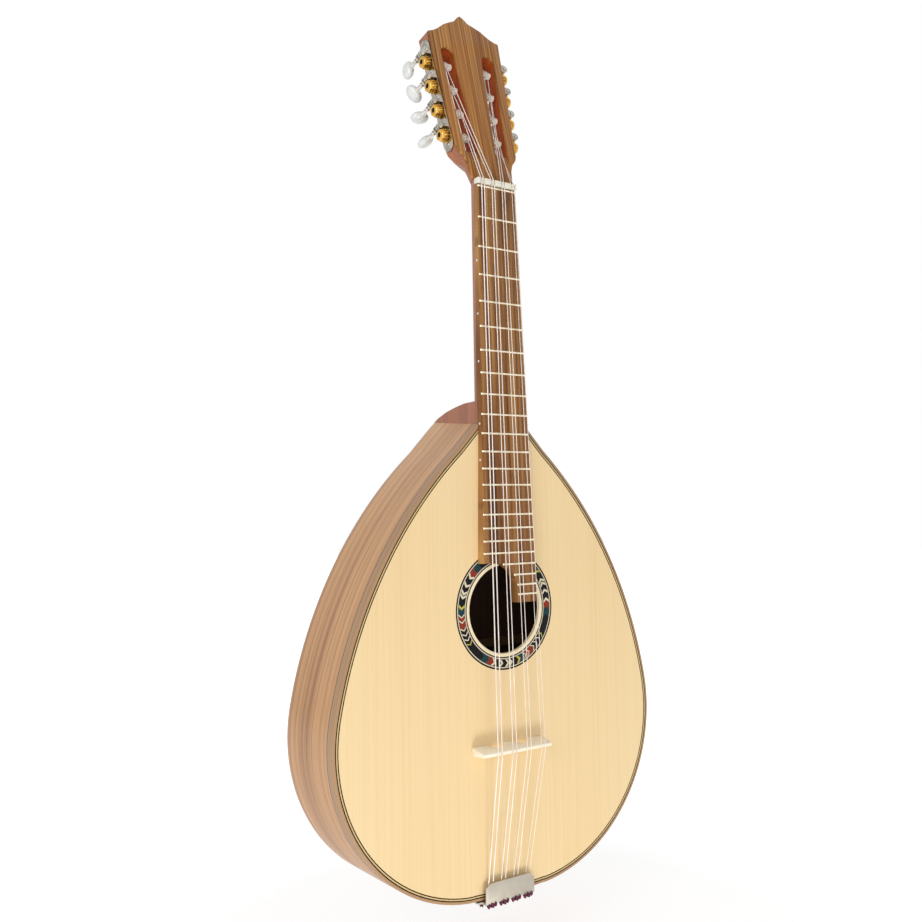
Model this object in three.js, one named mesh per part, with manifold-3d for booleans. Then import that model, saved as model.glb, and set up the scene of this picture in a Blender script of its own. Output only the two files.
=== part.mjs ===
// Flat-backed teardrop bandola: four double courses, floating bridge, slotted head with worm tuners.
// Millimetres. +Z runs up the neck, +X is the treble side, the soundboard looks towards -Y.
// The origin lies on the centre line at the zero fret, level with the soundboard's face.
import * as THREE from 'three';
import { mergeVertices } from 'three/addons/utils/BufferGeometryUtils.js';
import Module from 'manifold-3d';

const wasm = await Module();
wasm.setup();

// Fits and mesh steps
const seat = 0.3;
const overrun = 2;
const weld = 0.0005;
const arcSteps = 8;
const pinSides = 8;
const boreSides = 6;
const fullTurn = 2 * Math.PI;

// Scale and neck
const scaleLength = 468;
const fretCount = 22;
const lastFullFret = 18;
const neckAngle = THREE.MathUtils.degToRad(1.76);
const neckJointDrop = 202.5;
const fretPlaneLift = 5;
const nutHalfWidth = 20;
const lastFretHalfWidth = 26.7;
const boardThickness = 4;
const boardOverNut = 1.5;
const fretHeight = 1;
const fretFootWidth = 1.9;
const fretCrownWidth = 0.8;
const fretEndInset = 0.4;
const fretEndBevel = 0.9;
const boardFullEndDrop = 310.5;
const boardEndDrop = 343.4;
const tongueLeft = 7;
const stepStart = -13;
const stepCurveEndDrop = 333;
const stepCornerX = 5.5;
const stepCornerDrop = 313.5;
const shaftDepthAtNut = 21;
const shaftDepthAtHeel = 23;
const shaftSides = 10;

// Body outline: three tangent arcs from the tail to the heel
const tailDrop = 577.7;
const tailRadius = 600;
const boutRadius = 133.4;
const boutCentreX = 27.2;
const boutCentreDrop = 443.8;
const shoulderRadius = 361;
const shoulderStart = THREE.MathUtils.degToRad(101.05);
const shoulderEndHalfWidth = 44;
const shoulderTipInAndUp = [[19.1, 20], [27, 27.6]];
const tailSteps = 3;
const boutSteps = 17;
const shoulderSteps = 7;

// Body shell
const bodyDepth = 75;
const ribThickness = 2.4;
const plateThickness = 3;
const bindingDepth = 8;
const liningWidth = 6;
const frontLiningDepth = 10;
const backLiningDepth = 9;
const barWidth = 7;
const barHeight = 9;
const frontBarDrops = [290, 402, 492];
const backBarDrops = [285, 385, 485];
const tailBlockHalfWidth = 31;
const tailBlockThickness = 18;

// Heel
const heelFrontHalfWidth = 24.6;
const heelBackHalfWidth = 17.2;
const heelTopDrop = 178.5;
const heelProfileShares = [[0.9, 0.74], [0.7, 0.4], [0.5, 0.19], [0.29, 0.03]];
const heelBackDrop = 190.9;
const footEndDrop = 236;

// Sound hole and rosette
const holeDrop = 348.5;
const holeRadius = 36;
const rosetteInner = 38.9;
const rosetteOuter = 49.4;
const rosetteThickness = 1;
const holeSteps = 30;

// Head
const headTilt = THREE.MathUtils.degToRad(13);
const headStart = 7;
const headFaceSetback = 5;
const headThickness = 15;
const veneerThickness = 2;
const headLength = 163.5;
const throatHalfWidth = 20.2;
const throatRoom = [[0, 20.4, 16], [14, 24.4, 18], [28, 36, 32]];
const cheekCornerRise = 30;
const cheekHalfWidth = 31.5;
const cheekSplay = THREE.MathUtils.degToRad(3.4);
const crownHeight = 22;
const crownSlant = 0.085;
const headLean = THREE.MathUtils.degToRad(0.8);
const slotHalfWidth = 7;
const slotOffset = 16.3;
const slotBottomRise = 26;
const slotBelowEars = 15;
const trebleSlotHigher = 1.6;
const rampRise = 10;
const rampFloor = 3.6;

// Nut
const nutGap = 0.4;
const nutLength = 4.7;
const nutProud = 1;

// Strings: outermost bass to outermost treble
const stringCount = 8;
const coursePairs = 2;
const stringDiameters = [1, 1, 0.8, 0.8, 0.65, 0.65, 0.5, 0.5];
const nutCourseSpacing = 10.6;
const nutPairSpacing = 2.8;
const nutStringCentre = 0.7;
const bridgeCourseSpacing = 14.9;
const bridgePairSpacing = 4;
const bridgeBreakSetback = 2.4;
const bridgeStringCentre = 2.2;
const tailCourseSpacing = 12.2;
const tailPairSpacing = 4.2;
const tailCentre = -3.4;
const stringClearance = 0.35;
const stringSides = 4;
const windingTurns = 3;
const windingSteps = 9;
const windingGap = 0.5;
const loopSteps = 6;

// Bridge
const bridgeDrop = 460;
const bridgeHeight = 15.3;
const bridgeCentre = -0.5;
const bridgeFootHalf = 35.6;
const bridgeCrestHalf = 34.6;
const bridgeEndHeight = 8;
const bridgeFootAbove = 4.4;
const bridgeFootBelow = 2.2;
const bridgeCrestAbove = 1.2;
const bridgeCrestBelow = 1.4;
const archInner = 4.5;
const archOuter = 21;
const archHeight = 6.5;

// Tailpiece
const tailpieceSheet = 1.2;
const flapStandoff = 4;
const flapHeight = 14.5;
const flapTopHalf = 19.6;
const flapHalf = 24.4;
const tailLegHalf = 28.6;
const flapChamfer = 3.2;
const tailLegDepth = 32;
const tailLegChamfer = 9;
const stringWindowHalf = 3.4;
const stringWindowDepth = 2.6;
const hookRadius = 0.9;
const hookLength = 4.4;
const hookHeadRadius = 1.5;
const hookHeadThickness = 0.8;
const hookSetback = 4.5;
const loopDrop = 2;
const loopTail = 4;
const tailScrewX = 11;
const tailScrewDepth = 23;
const tailScrewHeadRadius = 3;
const tailScrewHeadHeight = 1.8;
const tailScrewRadius = 1.5;
const tailScrewLength = 15;

// Tuners
const tunerCount = 4;
const tunerPitch = 23.2;
const firstTunerRise = 42.5;
const trebleTunersHigher = 2.5;
const rollerDepth = 8.5;
const rollerRadius = 2.9;
const spindleRadius = 1.5;
const rollerBearing = 5;
const machinePlateThickness = 1;
const machinePlateHalfWidth = 6.4;
const machinePlateBelow = 14;
const machinePlateAbove = 22;
const gearTeeth = 14;
const gearPitchRadius = 5;
const gearTipRadius = 5.5;
const gearRootRadius = 4.35;
const gearWidth = 7;
const toothTip = 0.5;
const toothRoot = 1.05;
const wormPitchRadius = 3.3;
const wormCrestRadius = 3.6;
const wormCoreRadius = 2.45;
const threadTurns = 2;
const journalRadius = 1.3;
const earOffset = 5.6;
const earThickness = 1.5;
const earRadius = 3.2;
const shaftFrontReach = 7.1;
const buttonCentre = 23.5;
const buttonHalfLength = 8.5;
const buttonHalfWidth = 6.5;
const buttonHalfThickness = 4.6;
const collarRadius = 2.5;
const collarLength = 7.5;
const stemSocket = 4;
const stemRadius = 1.25;
const buttonTurns = [-60, 90, 35, -10].map(THREE.MathUtils.degToRad);

// Derived sizes
const jointSetback = fretPlaneLift;
const zeroFretSetback = neckJointDrop * Math.sin(neckAngle) - jointSetback * Math.cos(neckAngle);
const widthGrowth = (lastFretHalfWidth - nutHalfWidth) / fretDrop(lastFullFret);
const gearLead = fullTurn * gearPitchRadius / gearTeeth;
const gearMid = seat + machinePlateThickness + seat + gearWidth / 2;
const wormOffset = gearPitchRadius + wormPitchRadius;
const cheekThickness = (cheekHalfWidth - slotOffset) * Math.cos(cheekSplay) - slotHalfWidth;
const slotWidth = 2 * slotHalfWidth;
const earRise = headLength - crownHeight;
const slotTopRise = earRise - slotBelowEars;
const innerBack = bodyDepth - plateThickness;
const heelFall = heelBackDrop - heelTopDrop;
const headLap = throatHalfWidth * Math.sin(headLean) + seat;

function fretDrop(number) {
  return scaleLength * (1 - 2 ** (-number / 12));
}

function boardHalfWidth(drop) {
  return nutHalfWidth + widthGrowth * drop;
}

// Materials
function finish(color, roughness, metalness = 0) {
  return new THREE.MeshStandardMaterial({ color, roughness, metalness });
}

const spruce = finish(0xf3dcb0, 0.45);
const walnut = finish(0xb08a6c, 0.4);
const cedar = finish(0x94604a, 0.45);
const headWalnut = finish(0xa8764a, 0.45);
const boardWood = finish(0x8a5f3a, 0.5);
const maple = finish(0xdcb480, 0.45);
const liningWood = finish(0xc99b68, 0.8);
const bone = finish(0xf2eee0, 0.35);
const nickel = finish(0xc9c5bc, 0.3, 1);
const brass = finish(0xc8963a, 0.3, 1);
const pearl = finish(0xe4e8e2, 0.2);
const marquetry = finish(0x1d1714, 0.4);
const wire = finish(0xe6ded2, 0.3, 1);

// Solids: join, cut and turn back into geometry
function toSolid(geometry) {
  const plain = geometry.clone();
  for (const name of Object.keys(plain.attributes)) {
    if (name !== 'position') plain.deleteAttribute(name);
  }
  const merged = mergeVertices(plain, weld);
  const index = Array.from(merged.index.array);
  const kept = [];
  for (let i = 0; i < index.length; i += 3) {
    const [a, b, c] = index.slice(i, i + 3);
    if (a !== b && b !== c && c !== a) kept.push(a, b, c);
  }
  const vertProperties = new Float32Array(merged.attributes.position.array);
  return new wasm.Manifold(new wasm.Mesh({ numProp: 3, vertProperties, triVerts: new Uint32Array(kept) }));
}

function toGeometry(solid) {
  const mesh = solid.getMesh();
  const geometry = new THREE.BufferGeometry();
  geometry.setAttribute('position', new THREE.BufferAttribute(new Float32Array(mesh.vertProperties), 3));
  geometry.setIndex(new THREE.BufferAttribute(new Uint32Array(mesh.triVerts), 1));
  geometry.computeVertexNormals();
  return geometry;
}

function join(...solids) {
  return solids.reduce((whole, next) => whole.add(next));
}

function piece(name, solid, material) {
  const mesh = new THREE.Mesh(toGeometry(solid), material);
  mesh.name = name;
  return mesh;
}

function placed(geometry, ...matrices) {
  for (const matrix of matrices) geometry.applyMatrix4(matrix);
  return toSolid(geometry);
}

function mirrored(solid) {
  return solid.mirror([1, 0, 0]);
}

// Plain shapes
function block(xs, ys, zs) {
  const geometry = new THREE.BoxGeometry(xs[1] - xs[0], ys[1] - ys[0], zs[1] - zs[0]);
  geometry.translate((xs[0] + xs[1]) / 2, (ys[0] + ys[1]) / 2, (zs[0] + zs[1]) / 2);
  return geometry;
}

// A front-view outline (x, z) made solid from depth y0 to y1
function slab(points, y0, y1, holes = []) {
  const shape = new THREE.Shape(points.map(([x, z]) => new THREE.Vector2(x, z)));
  for (const hole of holes) shape.holes.push(new THREE.Path(hole.map(([x, z]) => new THREE.Vector2(x, z))));
  const geometry = new THREE.ExtrudeGeometry(shape, { depth: y1 - y0, bevelEnabled: false });
  geometry.rotateX(Math.PI / 2);
  geometry.translate(0, y1, 0);
  return geometry;
}

// A side-view outline (y, z) made solid from x0 to x1
function sideSlab(points, x0, x1) {
  const shape = new THREE.Shape(points.map(([y, z]) => new THREE.Vector2(y, z)));
  const geometry = new THREE.ExtrudeGeometry(shape, { depth: x1 - x0, bevelEnabled: false });
  geometry.applyMatrix4(new THREE.Matrix4().set(0, 0, 1, x0, 1, 0, 0, 0, 0, 1, 0, 0, 0, 0, 0, 1));
  return geometry;
}

// A turned piece on the Y axis from (radius, y) pairs that start and end on the axis
function turned(profile, sides) {
  return new THREE.LatheGeometry(profile.map(([radius, y]) => new THREE.Vector2(radius, y)), sides);
}

function rod(radius, y0, y1, sides) {
  return turned([[0, y0], [radius, y0], [radius, y1], [0, y1]], sides);
}

// A ring on the Y axis with a closed profile
function ring(inner, outer, y0, y1, sides) {
  return turned([[inner, y0], [outer, y0], [outer, y1], [inner, y1], [inner, y0]], sides);
}

// A closed skin through rings that hold the same number of points, with flat ends
function skin(rings) {
  const count = rings[0].length;
  const positions = rings.flat().flatMap((point) => [point.x, point.y, point.z]);
  const index = [];
  for (let j = 0; j + 1 < rings.length; j += 1) {
    for (let i = 0; i < count; i += 1) {
      const a = j * count + i;
      const b = j * count + (i + 1) % count;
      index.push(a, b, a + count, b, b + count, a + count);
    }
  }
  const last = (rings.length - 1) * count;
  for (let i = 1; i + 1 < count; i += 1) {
    index.push(0, i + 1, i, last, last + i, last + i + 1);
  }
  const geometry = new THREE.BufferGeometry();
  geometry.setAttribute('position', new THREE.Float32BufferAttribute(positions, 3));
  geometry.setIndex(index);
  return geometry;
}

// A round tube through points, its rings carried along without twist
function tube(points, radius, sides) {
  const tangents = points.map((point, i) => {
    const before = points[Math.max(i - 1, 0)];
    const after = points[Math.min(i + 1, points.length - 1)];
    return after.clone().sub(before).normalize();
  });
  let side = new THREE.Vector3(1, 0, 0);
  if (Math.abs(tangents[0].x) > Math.SQRT1_2) side = new THREE.Vector3(0, 1, 0);
  const rings = points.map((point, i) => {
    side.addScaledVector(tangents[i], -side.dot(tangents[i])).normalize();
    const up = tangents[i].clone().cross(side);
    return Array.from({ length: sides }, (_, k) => {
      const angle = fullTurn * k / sides;
      const spoke = side.clone().multiplyScalar(Math.cos(angle)).addScaledVector(up, Math.sin(angle));
      return point.clone().addScaledVector(spoke, radius);
    });
  });
  return skin(rings);
}

// Frames: the neck leans back from the soundboard, the head back from the neck and slightly to the bass side
const neckFrame = new THREE.Group();
neckFrame.position.set(0, zeroFretSetback, 0);
neckFrame.rotation.x = -neckAngle;
neckFrame.updateMatrix();
const headFrame = new THREE.Group();
headFrame.position.set(0, headFaceSetback, headStart);
headFrame.rotation.set(-headTilt, -headLean, 0);
headFrame.updateMatrix();
const neckMatrix = neckFrame.matrix.clone();
const headMatrix = neckMatrix.clone().multiply(headFrame.matrix);
const bodyInNeck = neckMatrix.clone().invert();

// Body outline, drawn in by an inset
function bodyOutline(inset = 0) {
  const boutEnd = [boutCentreX, -boutCentreDrop];
  const tailCentre = -tailDrop + tailRadius;
  const tailAngle = Math.asin(boutCentreX / (tailRadius - boutRadius));
  const reach = boutRadius - shoulderRadius;
  const shoulderCentre = [
    boutEnd[0] + reach * Math.sin(shoulderStart),
    boutEnd[1] - reach * Math.cos(shoulderStart),
  ];
  const endCosine = (shoulderEndHalfWidth - shoulderCentre[0]) / shoulderRadius;
  const shoulderEnd = Math.PI - Math.asin(endCosine);
  const half = [];
  const arc = (centre, radius, from, to, steps, first) => {
    for (let i = first; i <= steps; i += 1) {
      const angle = from + (to - from) * i / steps;
      half.push([centre[0] + (radius - inset) * Math.sin(angle), centre[1] - (radius - inset) * Math.cos(angle)]);
    }
  };
  arc([0, tailCentre], tailRadius, 0, tailAngle, tailSteps, 0);
  arc(boutEnd, boutRadius, tailAngle, shoulderStart, boutSteps, 1);
  arc(shoulderCentre, shoulderRadius, shoulderStart, shoulderEnd, shoulderSteps, 1);
  const shoulderTop = shoulderCentre[1] - shoulderRadius * Math.cos(shoulderEnd);
  const tipInset = inset * Math.SQRT1_2;
  for (const [inward, up] of shoulderTipInAndUp) {
    half.push([shoulderEndHalfWidth - inward - tipInset, shoulderTop + up - tipInset]);
  }
  const other = half.slice(1).reverse().map(([x, z]) => [-x, z]);
  return half.concat(other);
}

function bodyWall(outerInset, innerInset, y0, y1) {
  return toSolid(slab(bodyOutline(outerInset), y0, y1, [bodyOutline(innerInset)]));
}

function bodyPlate(inset, y0, y1) {
  return toSolid(slab(bodyOutline(inset), y0, y1));
}

const wide = boutCentreX + boutRadius + overrun;

// The heel's tapered block, grown by a clearance
function heelBlock(grow, y0, y1, bottomDrop, topDrop) {
  const taper = (heelFrontHalfWidth - heelBackHalfWidth) / bodyDepth;
  const halfAt = (y) => heelFrontHalfWidth - taper * y + grow;
  const corners = (z) => [[-halfAt(y0), y0], [halfAt(y0), y0], [halfAt(y1), y1], [-halfAt(y1), y1]]
    .map(([x, y]) => new THREE.Vector3(x, y, z));
  return toSolid(skin([corners(-bottomDrop), corners(-topDrop)]));
}

function withoutHeel(solid) {
  return solid.subtract(heelBlock(seat, -overrun, bodyDepth + overrun, footEndDrop + seat, heelTopDrop - overrun));
}

function soundboard() {
  const edge = ribThickness + seat;
  const hole = toSolid(rod(holeRadius, -overrun, plateThickness + overrun, holeSteps));
  const channel = toSolid(ring(rosetteInner - seat, rosetteOuter + seat, -overrun, rosetteThickness + seat, holeSteps));
  const above = toSolid(block([-wide, wide], [-overrun, plateThickness + overrun], [-neckJointDrop, 0]));
  return bodyPlate(edge, 0, plateThickness)
    .subtract(hole.translate([0, 0, -holeDrop]))
    .subtract(channel.translate([0, 0, -holeDrop]))
    .subtract(above);
}

function backPlate() {
  const above = toSolid(block([-wide, wide], [0, bodyDepth + overrun], [-heelBackDrop - seat, 0]));
  return bodyPlate(0, innerBack, bodyDepth).subtract(above);
}

function rib(side) {
  const band = withoutHeel(bodyWall(0, ribThickness, bindingDepth + seat, innerBack - seat));
  const half = toSolid(block([seat / 2, wide], [-overrun, bodyDepth], [-tailDrop - overrun, 0]));
  return band.intersect(side > 0 ? half : mirrored(half)).subtract(tailScrewHoles());
}

function binding() {
  return withoutHeel(bodyWall(0, ribThickness, 0, bindingDepth));
}

function rosette() {
  return toSolid(ring(rosetteInner, rosetteOuter, 0, rosetteThickness, holeSteps));
}

// A glued ring inside the ribs with its cross bars, clear of the end blocks
function liningWithBars(ringFrom, ringTo, barFrom, barTo, drops) {
  const outer = ribThickness + seat;
  const inside = bodyPlate(outer + liningWidth / 2, barFrom, barTo);
  let whole = bodyWall(outer, outer + liningWidth, ringFrom, ringTo);
  for (const drop of drops) {
    const bar = block([-wide, wide], [barFrom, barTo], [-drop - barWidth / 2, -drop + barWidth / 2]);
    whole = whole.add(toSolid(bar).intersect(inside));
  }
  const blockTop = -tailDrop + ribThickness + seat + tailBlockThickness + seat;
  const endSpace = block(
    [-tailBlockHalfWidth - seat, tailBlockHalfWidth + seat], [-overrun, bodyDepth], [-tailDrop, blockTop]);
  return withoutHeel(whole).subtract(toSolid(endSpace));
}

function frontLining() {
  const from = plateThickness + seat;
  return liningWithBars(from, from + frontLiningDepth, from, from + barHeight, frontBarDrops);
}

function backLining() {
  const to = innerBack - seat;
  return liningWithBars(to - backLiningDepth, to, to - barHeight, to, backBarDrops);
}

function tailBlock() {
  const inset = ribThickness + seat;
  const top = -tailDrop + inset + tailBlockThickness;
  const box = block([-tailBlockHalfWidth, tailBlockHalfWidth], [-overrun, bodyDepth], [-tailDrop, top]);
  return bodyPlate(inset, plateThickness + seat, innerBack - seat)
    .intersect(toSolid(box))
    .subtract(tailScrewHoles());
}

// Neck, heel and head core, one piece of wood
function shaft() {
  const section = (drop, depth) => {
    const half = boardHalfWidth(drop);
    const top = fretHeight + boardThickness + seat;
    return Array.from({ length: shaftSides + 1 }, (_, i) => {
      const angle = Math.PI * i / shaftSides;
      return new THREE.Vector3(half * Math.cos(angle), top + (depth - top) * Math.sin(angle), -drop);
    });
  };
  return placed(skin([section(heelTopDrop + overrun, shaftDepthAtHeel), section(-headStart - headLap, shaftDepthAtNut)]), neckMatrix);
}

function heel() {
  const profile = [
    [-overrun, -footEndDrop], [bodyDepth, -footEndDrop], [bodyDepth, -heelBackDrop],
    ...heelProfileShares.map(([deep, down]) => [bodyDepth * deep, -heelTopDrop - heelFall * down]),
    [-overrun, -heelTopDrop],
  ];
  const shape = toSolid(sideSlab(profile, -wide, wide));
  const tapered = heelBlock(0, -overrun, bodyDepth, footEndDrop, heelTopDrop);
  const plateRoom = (y0, y1, topDrop) => toSolid(block([-wide, wide], [y0, y1], [-footEndDrop - overrun, -topDrop]));
  return shape.intersect(tapered)
    .subtract(plateRoom(-2 * overrun, plateThickness + seat, neckJointDrop - seat))
    .subtract(plateRoom(innerBack - seat, bodyDepth + overrun, heelBackDrop));
}

// The face of the head: the ears and the crown slant up to the treble side
function headOutline() {
  const earHalf = cheekX(earRise);
  const crownShares = [
    [0.87, 0.07], [0.75, 0.17], [0.67, 0.27], [0.525, 0.46], [0.34, 0.605], [0.19, 0.714], [0.084, 0.91],
  ];
  const throatShares = [[0.1, 0.08], [0.22, 0.45], [0.45, 0.68], [0.86, 0.86]];
  const flare = cheekHalfWidth - throatHalfWidth;
  const cheek = [
    [throatHalfWidth, 0],
    ...throatShares.map(([out, up]) => [throatHalfWidth + flare * out, cheekCornerRise * up]),
    [cheekHalfWidth, cheekCornerRise],
  ];
  const crown = [
    [earHalf, earRise],
    ...crownShares.map(([out, up]) => [earHalf * out, earRise + crownHeight * up]),
  ];
  const slanted = (side) => crown.map(([x, rise]) => [side * x, rise + side * x * crownSlant]);
  const other = cheek.slice().reverse().map(([x, rise]) => [-x, rise]);
  return [...cheek, ...slanted(1), [0, headLength], ...slanted(-1).reverse(), ...other];
}

function headSlot(side) {
  const lean = side * Math.tan(cheekSplay);
  const centreAt = (rise) => side * slotOffset + (rise - cheekCornerRise) * lean;
  const arc = (rise, from) => Array.from({ length: arcSteps + 1 }, (_, i) => {
    const angle = from + Math.PI * i / arcSteps;
    return [centreAt(rise) + slotHalfWidth * Math.cos(angle), rise + slotHalfWidth * Math.sin(angle)];
  });
  const higher = side > 0 ? trebleSlotHigher : 0;
  const rampEnd = slotBottomRise + slotHalfWidth + higher;
  const outline = arc(slotTopRise - slotHalfWidth + higher, 0).concat(arc(rampEnd, Math.PI));
  const opening = toSolid(slab(outline, -overrun, headThickness + overrun));
  const ramp = sideSlab([[-overrun, rampRise], [rampFloor, rampEnd], [-overrun, rampEnd]], -slotHalfWidth, slotHalfWidth);
  return opening.add(toSolid(ramp).translate([centreAt(slotBottomRise), 0, 0]));
}

function rollerBore(side, number) {
  const depth = cheekThickness + slotWidth + rollerBearing + seat;
  const bore = rod(spindleRadius + seat, -overrun, depth, boreSides);
  bore.rotateZ(Math.PI / 2);
  const solid = toSolid(bore).translate([0, 0, number * tunerPitch]);
  return side > 0 ? solid : mirrored(solid);
}

function cheekMatrix(side) {
  const frame = new THREE.Group();
  const rise = side > 0 ? firstTunerRise + trebleTunersHigher : firstTunerRise;
  frame.position.set(side * cheekX(rise), rollerDepth, rise);
  frame.rotation.y = side * cheekSplay;
  frame.updateMatrix();
  return frame.matrix;
}

function cheekX(rise) {
  return cheekHalfWidth + (rise - cheekCornerRise) * Math.tan(cheekSplay);
}

// The room that the carved throat leaves, from the neck's section up to the full head
function throat() {
  const rings = throatRoom.map(([rise, half, depth]) => Array.from({ length: shaftSides + 1 }, (_, i) => {
    const angle = Math.PI * i / shaftSides;
    return new THREE.Vector3(half * Math.cos(angle), depth * Math.sin(angle), rise);
  }));
  const above = block([-wide, wide], [0, headThickness + overrun], [throatRoom.at(-1)[0], headLength + overrun]);
  return toSolid(skin(rings)).add(toSolid(above));
}

function head() {
  let core = toSolid(slab(headOutline(), veneerThickness + seat, headThickness)).intersect(throat());
  for (const side of [-1, 1]) {
    core = core.subtract(headSlot(side));
    for (let i = 0; i < tunerCount; i += 1) {
      core = core.subtract(rollerBore(side, i).transform(cheekMatrix(side).elements));
    }
  }
  return core.transform(headMatrix.elements);
}

function neck() {
  const underBoard = fretHeight + boardThickness + seat;
  const boardRoom = block([-wide, wide], [-bodyDepth, underBoard], [-footEndDrop, 0]);
  const veneerRoom = block([-wide, wide], [-bodyDepth, veneerThickness + seat], [0, headLength]);
  return join(shaft(), heel(), head())
    .subtract(placed(boardRoom, neckMatrix))
    .subtract(placed(veneerRoom, headMatrix));
}

function headVeneer() {
  const sheet = toSolid(slab(headOutline(), 0, veneerThickness));
  const behindNut = toSolid(block([-wide, wide], [-overrun, headThickness], [-headStart, seat]));
  return sheet.subtract(headSlot(-1)).subtract(headSlot(1)).subtract(behindNut);
}

// Fretboard with its frets
function boardOutline() {
  const shape = new THREE.Shape();
  const at = (drop) => boardHalfWidth(drop);
  shape.moveTo(-at(0), boardOverNut);
  shape.lineTo(-at(boardFullEndDrop), -boardFullEndDrop);
  shape.lineTo(stepStart, -boardFullEndDrop);
  shape.quadraticCurveTo(stepCornerX, -stepCornerDrop, tongueLeft, -stepCurveEndDrop);
  shape.lineTo(tongueLeft, -boardEndDrop);
  shape.lineTo(at(boardEndDrop), -boardEndDrop);
  shape.lineTo(at(0), boardOverNut);
  return shape.getPoints(arcSteps).map((point) => [point.x, point.y]);
}

function fretBar(drop) {
  const half = boardHalfWidth(drop) - fretEndInset;
  const geometry = new THREE.BoxGeometry(2 * half, fretHeight + seat, fretFootWidth);
  const position = geometry.attributes.position;
  for (let i = 0; i < position.count; i += 1) {
    if (position.getY(i) < 0) {
      position.setX(i, Math.sign(position.getX(i)) * (half - fretEndBevel));
      position.setZ(i, Math.sign(position.getZ(i)) * fretCrownWidth / 2);
    }
  }
  geometry.translate(0, (fretHeight + seat) / 2, -drop);
  return toSolid(geometry);
}

function fretboard() {
  const outline = boardOutline();
  const deep = fretPlaneLift + boardEndDrop * Math.sin(neckAngle);
  const board = toSolid(slab(outline, fretHeight, deep));
  const onNeck = block(
    [-wide, wide], [fretHeight + boardThickness, deep + overrun], [-neckJointDrop, boardOverNut + overrun]);
  const behind = block([-wide, wide], [-seat, bodyDepth], [-boardEndDrop - wide, -neckJointDrop]);
  const prism = toSolid(slab(outline, -overrun, deep));
  let frets = fretBar(0);
  for (let number = 1; number <= fretCount; number += 1) frets = frets.add(fretBar(fretDrop(number)));
  return board
    .subtract(toSolid(onNeck))
    .subtract(placed(behind, bodyInNeck))
    .add(frets.intersect(prism));
}

// Strings: where each one runs across the nut, the bridge and the tailpiece
function courseX(number, centre, courseSpacing, pairSpacing) {
  const course = Math.floor(number / coursePairs);
  const inPair = number % coursePairs;
  const courses = stringCount / coursePairs;
  return centre + (course - (courses - 1) / 2) * courseSpacing + (inPair - 1 / 2) * pairSpacing;
}

function nut() {
  const from = boardOverNut + nutGap;
  const bottom = fretHeight + boardThickness;
  let bar = toSolid(block([-nutHalfWidth, nutHalfWidth], [-nutProud, bottom], [from, from + nutLength]));
  for (let i = 0; i < stringCount; i += 1) {
    const half = stringDiameters[i] / 2 + stringClearance;
    const x = courseX(i, nutStringCentre, nutCourseSpacing, nutPairSpacing);
    const notch = sideSlab([
      [-nutProud - overrun, from - overrun], [0, from - overrun],
      [nutProud, from + nutLength + overrun], [-nutProud - overrun, from + nutLength + overrun],
    ], x - half, x + half);
    bar = bar.subtract(toSolid(notch));
  }
  return bar;
}

// The hook of a string and the side of it on which the string's loop lies
function hookPlace(number) {
  const outward = number % coursePairs === 0 ? -1 : 1;
  const bend = hookRadius + stringClearance + stringDiameters[number] / 2;
  const x = courseX(number, tailCentre, tailCourseSpacing, tailPairSpacing);
  return { x, outward, bend, centre: x + outward * bend };
}

function stringPath(number) {
  const radius = stringDiameters[number] / 2;
  const lift = radius + stringClearance;
  const { x: tailX, outward, bend, centre } = hookPlace(number);
  const legOuter = -tailDrop - seat - tailpieceSheet;
  const loopZ = legOuter - loopDrop;
  const underFlap = -flapStandoff + tailpieceSheet + radius;
  const points = [new THREE.Vector3(centre + outward * bend, hookSetback - loopTail, loopZ)];
  for (let i = 0; i <= loopSteps; i += 1) {
    const angle = Math.PI * i / loopSteps;
    points.push(new THREE.Vector3(
      centre + outward * bend * Math.cos(angle), hookSetback + bend * Math.sin(angle), loopZ));
  }
  points.push(new THREE.Vector3(tailX, underFlap + bend, loopZ));
  points.push(new THREE.Vector3(tailX, underFlap, loopZ + bend));
  points.push(new THREE.Vector3(tailX, underFlap, -tailDrop + flapHeight / 2));
  const bridgeX = courseX(number, bridgeStringCentre, bridgeCourseSpacing, bridgePairSpacing);
  points.push(new THREE.Vector3(bridgeX, -seat - bridgeHeight - lift, -bridgeDrop - bridgeBreakSetback));
  const nutX = courseX(number, nutStringCentre, nutCourseSpacing, nutPairSpacing);
  const nutEnd = boardOverNut + nutGap + nutLength;
  points.push(new THREE.Vector3(nutX, -lift, 0).applyMatrix4(neckMatrix));
  points.push(new THREE.Vector3(nutX, -lift, boardOverNut + nutGap).applyMatrix4(neckMatrix));
  points.push(new THREE.Vector3(nutX, nutProud - lift, nutEnd).applyMatrix4(neckMatrix));
  const winding = windingPoints(number);
  return points.concat(winding);
}

// Turns on the roller, from the side that faces the player round towards the tip
function windingPoints(number) {
  const side = number < stringCount / 2 ? -1 : 1;
  const place = side < 0 ? number : stringCount - 1 - number;
  const diameter = stringDiameters[number];
  const radius = rollerRadius + stringClearance + diameter / 2;
  const pitch = diameter + windingGap;
  const drift = (windingTurns * pitch) / 2;
  const inward = place >= coursePairs ? -1 : 1;
  const matrix = headMatrix.clone().multiply(cheekMatrix(side));
  const middle = cheekThickness + slotHalfWidth;
  const points = [];
  const steps = windingTurns * windingSteps;
  for (let i = 0; i <= steps; i += 1) {
    const angle = fullTurn * i / windingSteps;
    const along = middle + inward * (drift - pitch * i / windingSteps);
    points.push(new THREE.Vector3(
      -side * along, -radius * Math.cos(angle), place * tunerPitch + radius * Math.sin(angle)));
  }
  const last = points[points.length - 1].clone();
  points.push(last.setZ(last.z + 2 * diameter));
  return points.map((point) => point.applyMatrix4(matrix));
}

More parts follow.
